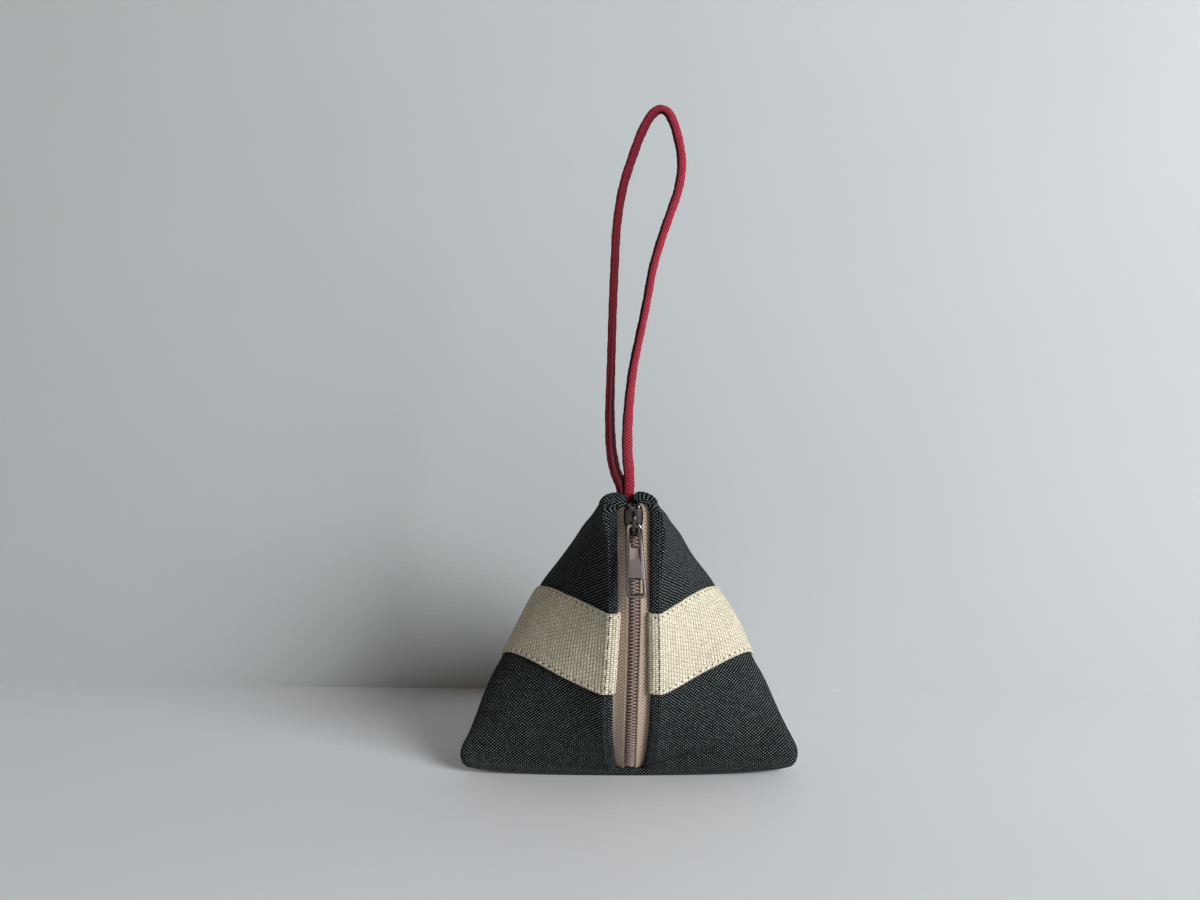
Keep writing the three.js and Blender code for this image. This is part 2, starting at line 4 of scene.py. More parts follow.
import bmesh
import bpy
import numpy as np
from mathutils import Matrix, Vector


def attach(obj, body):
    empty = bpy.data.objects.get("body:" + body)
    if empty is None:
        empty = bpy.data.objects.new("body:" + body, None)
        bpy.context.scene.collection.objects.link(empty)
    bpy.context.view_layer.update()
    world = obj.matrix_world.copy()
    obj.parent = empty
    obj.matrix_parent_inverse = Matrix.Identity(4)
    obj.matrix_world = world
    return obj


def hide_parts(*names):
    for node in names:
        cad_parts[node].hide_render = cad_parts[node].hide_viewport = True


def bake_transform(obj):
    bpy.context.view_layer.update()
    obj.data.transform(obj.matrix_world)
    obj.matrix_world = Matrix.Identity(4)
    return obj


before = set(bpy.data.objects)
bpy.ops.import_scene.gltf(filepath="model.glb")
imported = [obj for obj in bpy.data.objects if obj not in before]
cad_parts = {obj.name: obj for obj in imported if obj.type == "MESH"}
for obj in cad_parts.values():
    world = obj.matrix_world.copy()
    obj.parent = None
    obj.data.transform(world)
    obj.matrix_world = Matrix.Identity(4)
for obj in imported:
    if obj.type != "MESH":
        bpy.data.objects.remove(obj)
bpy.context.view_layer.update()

MM = 0.001
SIDES = (("left", -1), ("right", 1))
LEFT, RIGHT = 0, 1  # places in SIDES and in the pairs of values for both sides

# Form of the bag in millimetres and degrees, as in the part: X across, Y from the zip to the back, Z up.
# Values in threes are at the bottom seam, at half height and at the apex.
PANEL_HEIGHT = 104.0
ZIP_TUCK = 40.0
ZIP_LEAN = 10.0
TUCK_LENGTH = 32.0
FLOOR_LENGTH = 56.0
BACK_RADIUS = 42.0
SEAM_EDGE = 1.8
RIDGE_ANGLES = (3.0, 38.2, 81.0)
FRONT_REACH = (89.4, 79.8, 74.4)
BASE_REACH = (72.0, 22.5, 4.0)
SIDE_RISE = (0.0, 0.41, -0.25)
BASE_SAG = 16.0
SAG_FULL = 0.12
SAG_END = 0.62
CORNER_HEIGHT = 9.0
CORNER_DROP = 9.0
CLOSE_FROM = 0.86
CLOSE_LENGTH = 0.3
RIDGE_HALF = 1.8
BAND_BOTTOM = 35.2
BAND_TOP = 64.7
HEM_EDGE = 6.2
HEM_WIDTH = 3.5
HEM_END = HEM_EDGE + HEM_WIDTH
ZIP_FROM = -0.8

# Steps of the cloth's grids
ROW_STEP = 0.8
FINE_STEP = 0.25
SIDE_COLUMNS = 96
SIDE_CROWDING = 1.4  # over 1 where the columns crowd towards the zip
SECTION_POINTS = 240

# Cloth
FLOOR_GAP = 0.05  # between the cloth and the floor
FOLD_RADIUS = 0.5
HEM_ROLL = 1.0  # how far the hem rolls in from its thread to its folded edge
HEM_PUFF = 0.12
EDGE_HEIGHTS = (0, 9, 20, 31, 46, 63, 80, 104)  # along the zip
EDGE_HALVES = (4.8, 5.7, 6.4, 6.6, 6.0, 5.3, 5.5, 5.6)  # half of the zip between the folded edges
ZIP_WANDERS = (0.2, 0.2, 0.3, 0.5, 0.9, 1.2, 1.0, 0.6)  # of the soft zip to the right
EDGE_FADE = 25.0
PUCKER = 0.16
PUCKER_LENGTH = 5.4
PUCKER_REACH = 4.5
SWELL = 0.5  # slow waves of the panels
WAVES = (  # strength, then two factors, each as radians per millimetre of x, y and z and a start
    (1.0, (0.094, 0, 0.055, 0.6), (0, -0.047, 0.101, 1.7)),
    (0.6, (0.171, 0, -0.133, 2.1), (0, 0.119, 0.061, 0.4)),
)
CREASE_FROM = np.array((11.0, 5.5))  # crease at the lower right, as x and z
CREASE_TO = np.array((31.0, 13.0))
CREASE_DEPTH = 1.3
CREASE_WAVES = ((0.7, 1.6, 2.6), (-1.0, -2.0, 2.4))  # share of the depth, place above the line and width
CREASE_BACK = -8.0  # the crease stays in front of this y
LOWER_EASE, BAND_EASE, UPPER_EASE = 0.92, 0.75, 0.7  # under 1 for a looser weave than in the hems

# Band and threads. A stitch is given as its length, the gap after it and its thread's radius.
BAND_PROUD = 0.7
BAND_PROFILE = (  # turned edge, as distance from the edge and rise
    (0.25, -0.5), (0.02, 0.0), (-0.05, 0.35), (0.05, 0.58), (0.25, 0.7), (0.55, 0.74), (0.85, 0.66),
    (1.1, 0.5), (1.35, 0.62), (1.7, 0.72), (2.2, 0.72),
)
BAND_EDGE_END = 2.9  # where the plain rows start
BAND_STITCH = 1.1  # from the band's edge to its thread
RIDGE_DIPS = (-0.5, 3.6)  # of the band's lower and upper edges where they go over the side ridges
MIDDLE_DIPS = (2.4, 1.7)  # more of it half-way there
TUCK_UNDER = 1.6  # of the dark panels under the band
SEAM_PULL = 0.3  # how far the band's thread draws them in
SEAM_PULL_LENGTH = 2.4
STITCH_LINE = 3.2  # from the hem's edge to the dark thread
STITCH_DIP = 0.12
STITCH_BEAT = 2.6  # rhythm of the dip along the thread
HEM_THREAD = (4.0, 101.0, 0.6)  # from and to along the zip, and step
HEM_THREAD_DEPTH = 0.02
THREAD_GAP = 0.02  # between the threads and the floor
HEM_STITCHES = (2.4, 0.12, 0.15)
BAND_STITCHES = (1.9, 0.9, 0.2)
LOOP_STITCHES = (1.9, 0.5, 0.17)
HOLE_STEP = BAND_STITCHES[0] + BAND_STITCHES[1]
HOLE_RADIUS = 0.38
HOLE_RIM = 0.17  # of a needle hole, over the dip of its thread
HOLE_FLOOR = 0.1

# Apex and bottom seam. Pairs are for the left and the right side.
LOBE_RISE = (0.75, 0.95)  # height of the rolled apex against its radius
LOBE_SKEW = (1.0, 1.9)  # 1 for a round roll, more for one with its top towards the slit
LOBE_LEAN = 0.12  # of the roll to the back, against its radius
LOBE_ANGLES = (12, 26, 42, 60, 78, 96, 114, 132, 150, 168, 182)
SHOULDERS = (-1.1, 1.5)  # how far the sides draw in just under the apex
SHOULDERS_FROM = (95, 99)
SHOULDER_SWELLS = (1.2, 1.4)  # how far they stand out again below that
SHOULDER_SWELLS_AT = (97.0, 91.0)
SHOULDER_LENGTHS = (4.5, 11.0)
ARCH_FROM = 98.3  # where the folded edges start to close over the tape ends
ARCH_RISES = (4.3, 5.4)  # from there to the top of the arch
ARCH_POWER = 2.6
SLIT_HALF = 0.8  # half of the slit that the strap comes out of
SLIT_END = (-45.0, -34.0)  # where it closes, as y
SEAM_HALF = 0.04  # half of the closed slit behind that
ROLL_ANGLES = (88, 74, 58, 40, 20)  # of the lower edge that rolls in to the bottom seam
ROLL_OUT = np.array((0, -0.75, 0.1125))  # how far it stands out, against its radius
ROLL_CREASE = 0.35  # how much less it does in the middle
ROLL_CLOTH = 2.3  # length of its cloth for a turn of one radian
FOOT_HALF = 7.4
FOOT_PROFILE = (  # strip under the zip, as distance behind the zip's lower end and height
    (2.6, 0.05), (0.3, 0.05), (-0.45, 0.35), (-0.75, 1.0), (-0.6, 1.8), (-0.1, 2.3), (0.9, 2.7), (2.6, 4.2),
)

# Zip
TAPE_FROM = 0.25  # from the middle of the zip to the tape's inner edge
TAPE_WIDER = 1.25  # than the shown half of the zip
TAPE_TOP = ARCH_FROM + 5.5
TAPE_ROWS = 150
TAPE_DEPTH = 2.0
TAPE_RIDGE = 0.9  # rise of the tape beside its coil
TAPE_SINK = 0.4  # and its fall under the hem
TAPE_CORD = 0.25  # rise of the sewn cord beside the coil
TAPE_JAG = 1.3  # width of a tooth of the cut end
CHEVRON_MIDDLE = 3.9
CHEVRON_SLOPE = 1.1
CHEVRON_PITCH = 1.25
TAPE_RIB_PITCH = 0.55
COIL_FROM = 2.4
COIL_TO = 101.5
COIL_PITCH = 1.27
COIL_OUTER = 1.4
COIL_INNER = -0.3
COIL_BACK = 1.6
COIL_FRONT = 0.1
COIL_WIRE = 0.33
COIL_STEPS = 14  # in one turn
COIL_SIDES = 6

# Slider and pull tab
SLIDER_LENGTH = 10.4
SLIDER_WIDTH = 6.6
SLIDER_OFF = 0.65  # to the right, with the zip
SLIDER_NOSE = 4.6
SLIDER_NOSE_LENGTH = 5.2
SLIDER_BOTTOM = 92.6  # along the zip
SLIDER_FACE = -1.5  # depth of the front plate's outer face
SLIDER_WALL = 0.62
SLIDER_BEVEL = 0.12
SLIDER_BACK = 3.0  # depth of the back plate's middle
BRIDGE_WIDTH = 1.4
BRIDGE_BAR = 1.0
BRIDGE_FROM = 1.24
BRIDGE_LENGTH = 7.4
BRIDGE_RISE = 2.9
BRIDGE_SUNK = 0.3
BRIDGE_STEPS = 33
BRIDGE_SIDES = 12
TAB_PIVOT = np.array((0.0, -55.281, 93.818))
TAB_LENGTH = 25.0
TAB_TOP_WIDTH = 5.6
TAB_BOTTOM_WIDTH = 7.0
TAB_THICKNESS = 1.2
TAB_CORNER = 1.9
TAB_EDGE = 0.42
TAB_BAR = 1.2
TAB_BOW = 0.4
TAB_SKEW = 1.2  # the tab hangs a little to the right
EYE_WIDTH = 2.8
EYE_LENGTH = 6.6
EYE_CORNER = 1.3
WINDOW_WIDTH = 4.0
WINDOW_LENGTH = 4.9
WINDOW_MARGIN = 1.5
WINDOW_CORNER = 0.4
RIM_WIDEN = 1.26  # width of the window's rim against the window
RIM_BAR = 0.5
RIM_PROUD = 0.5
RIM_EDGE = 0.24

# Wrist loop: points of its middle line as x and the height above its hinge line, as in the part
STRAP_WIDTH = 2.6
STRAP_THICKNESS = 1.8
STRAP_GROOVE = 0.6  # depth of the fold's open side
STRAP_SIDES = 28
STRAP_RINGS = 420
STRAP_Y = -48.372
LOOP_PIVOT_Z = 105.697
LOOP_PIVOT_X = -2.0
ROOT_HALF = 1.2  # half of the distance between the strap's ends at the hinge line
ROOT_DEPTH = 5.2  # of the ends below it
ROOT_NARROW = 0.7
STRAP_APART = 0.4  # of the left run to the back and of the right run to the front, near the hinge line
STRAP_APART_LENGTH = 40.0
STRAP_TURN = 30.0  # of the strap about its line
STRAP_SWAY = 8.0
STRAP_END_TURNS = (34.0, -26.0)  # more of it towards the left and the right end
STRAP_GIRTH = 8.2  # round the folded strap, into its groove
THREADLESS_RINGS = 14  # at either end
STRAP_POINTS = (
    (-5.2, 5.8), (-6.6, 12.8), (-7.2, 24.8), (-6.9, 39.3), (-6.5, 53.3), (-6.2, 62.8), (-5.5, 78.3),
    (-4.8, 90.3), (-2.8, 102.8), (0.6, 113.8), (4.3, 123.3), (7.6, 128.5), (10.1, 129.9), (12.3, 129.1),
    (14.1, 126.3), (15.9, 120.8), (17.3, 111.8), (16.2, 102.8), (13.2, 93.8), (10.1, 84.8), (7.4, 75.3),
    (5.7, 66.0), (4.6, 60.3), (2.7, 51.3), (0.6, 40.8), (-0.7, 29.8), (-1.3, 20.3), (-1.3, 11.3),
    (-0.8, 5.8),
)

# Camera, room and light, from the photograph's perspective
CAMERA = (-10.6, -345.0, 119.0)
CAMERA_LENS = 26.0
CAMERA_SENSOR = 36.0
ROOM_HALF = 1600
FLOOR_BACK = 900
WALL_HEIGHT = 1600
WALL_Y = 85.0
WALL_TURN = -2.2
LIGHT_PLACE = Vector((1500, -1300, 780))
LIGHT_TARGET = Vector((0, 0, 80))
LIGHT_SIZE = (1.0, 1.15)  # in metres
LIGHT_POWER = 51.0
LIGHT_COLOUR = (0.97, 0.99, 1.0)
ROOM_FILL = (0.085, 0.068, 0.048, 1)
ROOM_DARK = (0.1, 0.08, 0.06, 1)  # as metal mirrors it
ROOM_PALE = (1.1, 1.03, 1.0, 1)
PALE_TOWARDS = (-0.22, -1.0, 0.1)
PALE_EDGE = (0.9, 0.98)  # cosines of the angles where the pale part starts and is full


def smooth(x):
    x = np.clip(x, 0, 1)
    return x * x * (3 - 2 * x)


def ramp(x, start, length):
    """Smooth rise from 0 at the start to 1 a length further on, which may be negative."""
    return smooth((x - start) / length)


def bump(x, width):
    return np.exp(-(x / width) ** 2)


def through(values, t):
    """Value at share t of the height, on the parabola through three values."""
    bottom, middle, top = values
    return bottom * (1 - t) * (1 - 2 * t) + middle * 4 * t * (1 - t) + top * t * (2 * t - 1)


def zip_line(h):
    """Outer face of the zip at height h along it, as y, z and tilt."""
    tuck, lean = math.radians(ZIP_TUCK), math.radians(ZIP_LEAN)
    radius = TUCK_LENGTH / (tuck - lean)
    tilt = tuck - min(h, TUCK_LENGTH) / radius
    straight = max(0, h - TUCK_LENGTH)
    y = -radius * (math.cos(tilt) - math.cos(tuck)) - straight * math.sin(lean)
    z = radius * (math.sin(tuck) - math.sin(tilt)) + straight * math.cos(lean)
    return y - FLOOR_LENGTH / 2, z + SEAM_EDGE, tilt


def zip_point(x, depth, h):
    y, z, tilt = zip_line(h)
    return np.array((x, y + depth * math.cos(tilt), z + depth * math.sin(tilt)))


def back_line(h):
    angle = max(0, h - FLOOR_LENGTH) / BACK_RADIUS
    y = min(h, FLOOR_LENGTH) + BACK_RADIUS * math.sin(angle)
    return y - FLOOR_LENGTH / 2, BACK_RADIUS * (1 - math.cos(angle))


def section(h):
    """Right half of the outer cloth at height h, from the hem to the middle of the back."""
    t = h / PANEL_HEIGHT
    y, z, tilt = zip_line(h)
    back_y, back_z = back_line(h)
    ridge = math.radians(through(RIDGE_ANGLES, t))
    sag = BASE_SAG * min(t / SAG_FULL, 1) * max(0, 1 - t / SAG_END)
    start = np.array((HEM_END, y, z))
    lead = start + through(FRONT_REACH, t) * np.array((
        math.cos(ridge),
        math.sin(ridge) * math.cos(tilt),
        math.sin(ridge) * math.sin(tilt) + through(SIDE_RISE, t),
    ))
    trail = np.array((through(BASE_REACH, t), back_y, back_z - sag))
    end = np.array((0, back_y, back_z))
    share = np.linspace(0, 1, SECTION_POINTS)[:, None]
    rest = 1 - share
    curve = rest ** 3 * start + 3 * share * rest ** 2 * lead
    curve += 3 * share ** 2 * rest * trail + share ** 3 * end
    x = curve[:, 0]
    corner = max(0, 1 - h / CORNER_HEIGHT)
    drop = CORNER_DROP * (1 - math.sqrt(1 - corner ** 2))
    narrowing = 1 - drop / (x.max() - HEM_END)
    x = np.minimum(x, HEM_END) + np.maximum(0, x - HEM_END) * narrowing
    shut = np.clip((t - CLOSE_FROM) / (1 - CLOSE_FROM), 0, 1)
    closed = (1 - math.sqrt(1 - shut ** 2)) * smooth(share[:, 0] / CLOSE_LENGTH)
    curve[:, 0] = x - closed * np.maximum(0, x - RIDGE_HALF)
    curve[:, 2] = np.maximum(0, curve[:, 2])
    return curve


def unit(vectors):
    return vectors / np.linalg.norm(vectors, axis=-1, keepdims=True)


def lengths_along(points, axis=0):
    """Lengths from the first point of a line, or of each line of a grid."""
    steps = np.linalg.norm(np.diff(points, axis=axis), axis=-1)
    return np.insert(np.cumsum(steps, axis=axis), 0, 0, axis=axis)


def at_places(places, along, values):
    """Rows of values at the given places, between rows that lie at the lengths along a line."""
    return np.stack([np.interp(places, along, axis) for axis in values.T], axis=1)


def resampled(points, shares):
    """Points at the given shares of a polyline's length."""
    along = lengths_along(points)
    return at_places(shares * along[-1], along, points)


def hem_columns():
    """Hem as distances from its folded edge and depths: the fold, then the strip to the panel."""
    angles = np.radians(np.linspace(-60, 90, 7))
    points = [(FOLD_RADIUS * (1 - math.cos(a)), FOLD_RADIUS * (1 - math.sin(a))) for a in angles]
    points += [(d, 0.0) for d in np.arange(FOLD_RADIUS + FINE_STEP, HEM_WIDTH - 0.1, FINE_STEP)]
    return [(d, depth + HEM_ROLL * (1 - d / HEM_WIDTH) ** 3) for d, depth in points]


HEM_COLUMNS = hem_columns()
SIDE_SHARES = np.linspace(0, 1, SIDE_COLUMNS) ** SIDE_CROWDING


def edge_half(h):
    return np.interp(h, EDGE_HEIGHTS, EDGE_HALVES)


def zip_wander(h):
    return np.interp(h, EDGE_HEIGHTS, ZIP_WANDERS)


def arch_edge(h, rise):
    """Distance of a folded edge from the middle of the zip, with its arch at the top."""
    climb = np.clip((h - ARCH_FROM) / rise, 0, 1)
    return SLIT_HALF + (edge_half(h) - SLIT_HALF) * (1 - climb ** ARCH_POWER) ** (1 / ARCH_POWER)


def cloth_side(h, hand):
    """Left or right half of a row of cloth, from its folded edge to the middle of the back."""
    half = edge_half(h)
    edge = arch_edge(h, ARCH_RISES[hand])
    spread = 1 + (half - edge) / HEM_WIDTH
    hem = np.array([zip_point(edge + d * spread, depth, h) for d, depth in HEM_COLUMNS])
    side = resampled(section(h), SIDE_SHARES)
    near = 1 - smooth(lengths_along(side) / EDGE_FADE)
    side[:, 0] += (half - HEM_EDGE) * near
    points = np.concatenate((hem, side))
    start = SHOULDERS_FROM[hand]
    outward = SHOULDER_SWELLS[hand] * bump(h - SHOULDER_SWELLS_AT[hand], SHOULDER_LENGTHS[hand])
    outward -= SHOULDERS[hand] * ramp(h, start, PANEL_HEIGHT - start)
    points[:, 0] += outward * ramp(points[:, 0], half + 0.5, 3)
    points[:, 0] *= SIDES[hand][1]
    points[:, 0] += zip_wander(h) * np.concatenate((np.ones(len(hem)), near))
    return points


def cloth_row(h):
    """Row of cloth from the right side of the zip round the back to the left side."""
    return np.concatenate((cloth_side(h, RIGHT), cloth_side(h, LEFT)[-2::-1]))


BASE_HEIGHTS = np.arange(0, PANEL_HEIGHT + FINE_STEP / 2, FINE_STEP)
BASE_GRID = np.array([cloth_row(h) for h in BASE_HEIGHTS])
# Whole millimetres from the zip to the middle of the back, at half height
HALF_GIRTH = round(lengths_along(BASE_GRID[len(BASE_GRID) // 2])[-1] / 2)


def cloth_at(heights):
    """Rows of cloth at the given heights. They dip towards the side ridges, as the band does."""
    columns = np.arange(BASE_GRID.shape[1])
    tips = np.argmax(BASE_GRID[:, :len(columns) // 2, 0], axis=1)
    to_hem = np.minimum(columns, columns[::-1]) - len(HEM_COLUMNS)
    over = np.clip(to_hem / (np.median(tips) - len(HEM_COLUMNS)), 0, 1)
    marks = (0, BAND_BOTTOM, BAND_TOP, PANEL_HEIGHT)
    at_ridge = np.interp(heights, marks, (0, *RIDGE_DIPS, 0))[:, None]
    at_middle = np.interp(heights, marks, (0, *MIDDLE_DIPS, 0))[:, None]
    dips = at_ridge * smooth(over) + at_middle * np.sin(np.pi * over)
    last = len(BASE_GRID) - 1.001
    steps = np.clip((heights[:, None] - dips) / FINE_STEP, 0, last)
    low = steps.astype(int)
    share = (steps - low)[..., None]
    return BASE_GRID[low, columns] * (1 - share) + BASE_GRID[low + 1, columns] * share


def normals_of(grid):
    """Outward normals of a grid of cloth points."""
    normal = np.cross(np.gradient(grid, axis=0), np.gradient(grid, axis=1))
    normal /= np.maximum(np.linalg.norm(normal, axis=2, keepdims=True), 1e-9)
    outward = np.sum(normal * (grid - grid.mean(axis=(0, 1))), axis=2)
    return normal * np.sign(np.median(outward))


def around(grid):
    """Length round the bag from the right hem, and the distance to the nearer hem."""
    length = lengths_along(grid, 1)
    return length, np.minimum(length, length[:, -1:] - length)


def slow_waves(grid):
    """Gentle unevenness of stuffed cloth, the same on every run."""
    total = 0
    for strength, *factors in WAVES:
        first, second = (np.sin(grid @ np.array(turns) + start) for *turns, start in factors)
        total = total + strength * first * second
    return total


def crease(grid):
    """Soft crease on the lower right panel, a low ridge above a furrow."""
    length = np.linalg.norm(CREASE_TO - CREASE_FROM)
    along = (CREASE_TO - CREASE_FROM) / length
    place = grid[..., (0, 2)] - CREASE_FROM
    run = place @ along / length
    off = place @ np.array((-along[1], along[0]))
    fade = smooth(run * 3 + 0.6) * smooth((1.15 - run) * 2.2)
    wave = sum(share * bump(off - at, width) for share, at, width in CREASE_WAVES)
    return np.where(grid[..., 1] < CREASE_BACK, fade * CREASE_DEPTH * wave, 0)


def hem_lift(near, heights):
    """Puffed hem, the dip along its thread and the puckers beside it."""
    h = heights[:, None]
    beyond = near - STITCH_LINE
    puff = HEM_PUFF * np.sin(np.pi * np.clip(near / STITCH_LINE - 0.12, 0, 1))
    dip = STITCH_DIP * bump(beyond, 0.5) * (0.8 + 0.2 * np.cos(2 * np.pi * h / STITCH_BEAT))
    phase = 2 * np.pi * h / PUCKER_LENGTH + 1.3 * np.sin(h * 0.31)
    pucker = PUCKER * np.sin(phase) * np.exp(-np.maximum(beyond, 0) / PUCKER_REACH)
    return puff - dip + pucker * smooth(beyond / 1.2)


def body_lift(grid, near):
    """Waves and crease of a panel, fading out at the hem and where the base lies on the floor."""
    free = ramp(near, 3, 9) * ramp(grid[..., 2], 0.4, 6)
    return free * SWELL * slow_waves(grid) + ramp(near, 2.5, 3) * crease(grid)


def lifted(grid, lift):
    """Cloth moved outwards by the lift, but never further into the floor."""
    out = grid + normals_of(grid) * lift[..., None]
    out[..., 2] = np.maximum(out[..., 2], np.minimum(grid[..., 2], FLOOR_GAP))
    return out


# Meshes


def new_object(name, data):
    made = bpy.data.objects.new(name, data)
    bpy.context.scene.collection.objects.link(made)
    return made


def mesh_piece(name, points, faces, uv=None, crisp=None, facing=None):
    """Mesh object from points and cloth coordinates in millimetres. Open sheets can face a given way."""
    mesh = bpy.data.meshes.new(name)
    mesh.from_pydata((np.asarray(points) * MM).tolist(), [], faces)
    if uv is not None:
        layer = mesh.uv_layers.new(name="cloth")
        corners = [loop.vertex_index for loop in mesh.loops]
        layer.uv.foreach_set("vector", np.asarray(uv, dtype=np.float32)[corners].ravel())
    builder = bmesh.new()
    builder.from_mesh(mesh)
    bmesh.ops.recalc_face_normals(builder, faces=builder.faces)
    if facing and sum(f.normal.dot(facing) for f in builder.faces) < 0:
        bmesh.ops.reverse_faces(builder, faces=builder.faces)
    builder.to_mesh(mesh)
    builder.free()
    mesh.shade_smooth()
    if crisp:
        mesh.set_sharp_from_angle(angle=math.radians(crisp))
    return new_object(name, mesh)


def grid_faces(rows, columns, closed=False, start=0):
    """Faces of a grid of points, which may close round from its last column to its first."""
    faces = []
    for r in range(rows - 1):
        a = start + r * columns
        for c in range(columns if closed else columns - 1):
            n = (c + 1) % columns
            faces.append((a + c, a + n, a + n + columns, a + c + columns))
    return faces


def grid_piece(name, grid, uv):
    rows, columns = grid.shape[:2]
    return mesh_piece(name, grid.reshape(-1, 3), grid_faces(rows, columns), uv.reshape(-1, 2))


def circle(sides, power=1.0):
    """Points of a unit circle, or of a squarer form for a power under 1."""
    turns = np.linspace(0, 2 * math.pi, sides, endpoint=False)
    return np.stack([np.sign(f) * np.abs(f) ** power for f in (np.cos(turns), np.sin(turns))], axis=1)


def swept(centre, side, up, outline):
    """Rings of an outline carried along a line, with its two axes along side and up."""
    return centre[:, None] + outline[..., :1] * side[:, None] + outline[..., 1:] * up[:, None]


def swept_faces(rings, sides, start=0):
    """Faces of a closed tube of rings, with its two ends."""
    firsts = (start, start + (rings - 1) * sides)
    return grid_faces(rings, sides, True, start) + [tuple(range(f, f + sides)) for f in firsts]


def paint(piece, material):
    piece.data.materials.clear()
    piece.data.materials.append(material)


def dress(piece, material, body, slot, *nodes):
    """Gives a piece its material and its body, and hides the imported parts of the nodes that it stands
    for.
    """
    paint(piece, material)
    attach(piece, body)
    if nodes:
        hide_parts(*nodes)


# Materials


def joined_by(operation):
    """Method that joins a shader value and another one in a math node."""
    return lambda value, other: value.nodes.math(operation, value, other)


class Value:
    """Number that a shader node gives, for use in sums."""

    __add__ = joined_by("ADD")
    __sub__ = joined_by("SUBTRACT")
    __mul__ = joined_by("MULTIPLY")
    __truediv__ = joined_by("DIVIDE")
    __pow__ = joined_by("POWER")

    def __init__(self, nodes, socket):
        self.nodes = nodes
        self.socket = socket

    def __rsub__(self, other):
        return self.nodes.math("SUBTRACT", other, self)


class Nodes:
    """Short way to add shader nodes to one tree."""

    def __init__(self, tree):
        self.tree = tree

    def add(self, kind, values=None, **settings):
        node = self.tree.nodes.new("ShaderNode" + kind)
        for key, value in settings.items():
            setattr(node, key, value)
        for key, value in (values or {}).items():
            self.put(node.inputs[key], value)
        return node

    def put(self, socket, value):
        if isinstance(value, Value):
            value = value.socket
        if isinstance(value, bpy.types.NodeSocket):
            self.tree.links.new(value, socket)
        else:
            socket.default_value = value

    def math(self, operation, a, b=0.0):
        return Value(self, self.add("Math", {0: a, 1: b}, operation=operation).outputs[0])

    def noise(self, vector, scale, detail):
        values = {"Vector": vector, "Scale": scale, "Detail": detail}
        return Value(self, self.add("TexNoise", values).outputs["Fac"])

    def range(self, value, low, high, to_low=0.0, to_high=1.0):
        values = {"Value": value, "From Min": low, "From Max": high, "To Min": to_low, "To Max": to_high}
        return Value(self, self.add("MapRange", values).outputs["Result"])

    def mix(self, share, a, b, blend="MIX"):
        """Mix of two colours, whose sockets come after those for numbers and vectors."""
        return self.add("Mix", {0: share, 6: a, 7: b}, data_type="RGBA", blend_type=blend).outputs[2]

    def split(self, vector):
        return [Value(self, socket) for socket in self.add("SeparateXYZ", {"Vector": vector}).outputs]

    def scaled(self, vector, scale):
        return self.add("Mapping", {"Vector": vector, "Scale": scale}).outputs[0]


class Surface(Nodes):
    """Shader nodes of one new material."""

    def __init__(self, name, roughness, metallic=0.0):
        self.material = bpy.data.materials.new(name)
        self.material.use_nodes = True
        super().__init__(self.material.node_tree)
        self.shader = self.tree.nodes["Principled BSDF"]
        self.set("Roughness", roughness)
        self.set("Metallic", metallic)

    def set(self, name, value):
        self.put(self.shader.inputs[name], value)

    def colour(self, value):
        self.set("Base Color", value)

    def bumped(self, height, distance, strength=1.0):
        node = self.add("Bump", {"Height": height, "Distance": distance * MM, "Strength": strength})
        self.set("Normal", node.outputs["Normal"])

    def place(self):
        return self.add("TexCoord").outputs["Object"]

    def cloth_uv(self):
        uv = self.add("UVMap", uv_map="cloth").outputs["UV"]
        u, v, _ = self.split(uv)
        return uv, u, v


def srgb(red, green, blue):
    """Linear colour from display values of 0 to 255."""
    shares = [v / 255 for v in (red, green, blue)]
    return tuple(v / 12.92 if v <= 0.04045 else ((v + 0.055) / 1.055) ** 2.4 for v in shares) + (1.0,)


def weave(nodes, warp_pitch, weft_pitch, wander):
    """Plain weave on the cloth's own coordinates.

    Gives the coordinates, the height, the share of the warp on top, the middles of the crossings,
    the holes between the threads and a chance value for each crossing.
    """
    uv, u, v = nodes.cloth_uv()
    drift = (nodes.noise(uv, 0.35, 3.0) - 0.5) * wander
    columns = (u + drift) / warp_pitch
    rows = (v + drift) / weft_pitch
    across, along = (nodes.math("SINE", way * math.pi) for way in (columns, rows))
    warp, weft = (nodes.math("ABSOLUTE", wave) for wave in (across, along))
    over = nodes.range(across * along, -0.12, 0.12)
    height = warp * weft ** 0.35 * over + weft * warp ** 0.35 * (1.0 - over)
    hole = (1.0 - warp) * (1.0 - weft)
    cell = nodes.add("CombineXYZ", {"X": nodes.math("FLOOR", columns), "Y": nodes.math("FLOOR", rows)})
    chance = nodes.add("TexWhiteNoise", {"Vector": cell.outputs[0]}, noise_dimensions="2D").outputs["Value"]
    return uv, height, over, warp * weft, hole, chance


def linen(name, warp, weft, gap, pitches, depth, dots, holes, uneven_dots):
    """Coarse linen: two thread colours, dark holes and uneven threads.

    The warp shows as dots that reach full colour between two levels, and so do the holes.
    """
    nodes = Surface(name, 0.85)
    uv, height, over, crossing, hole, chance = weave(nodes, *pitches, 0.6)
    slub, slub_across = (
        nodes.noise(nodes.scaled(uv, scale), 1.0, 2.0) for scale in ((1.6, 0.12, 1), (0.12, 1.6, 1))
    )
    uneven = (slub + slub_across) * 0.5
    dot = over * nodes.range(crossing, *dots)
    shade = nodes.range(uneven, 0.3, 0.7, 0.78, 1.2) * nodes.range(chance, 0.0, 1.0, *uneven_dots)
    grey = nodes.add("CombineXYZ", {axis: shade for axis in "XYZ"}).outputs[0]
    thread = nodes.mix(1.0, nodes.mix(dot, weft, warp), grey, blend="MULTIPLY")
    nodes.colour(nodes.mix(nodes.range(hole, *holes), thread, gap))
    nodes.bumped(height + uneven * 0.35, depth)
    nodes.set("Specular IOR Level", 0.03)
    return nodes.material


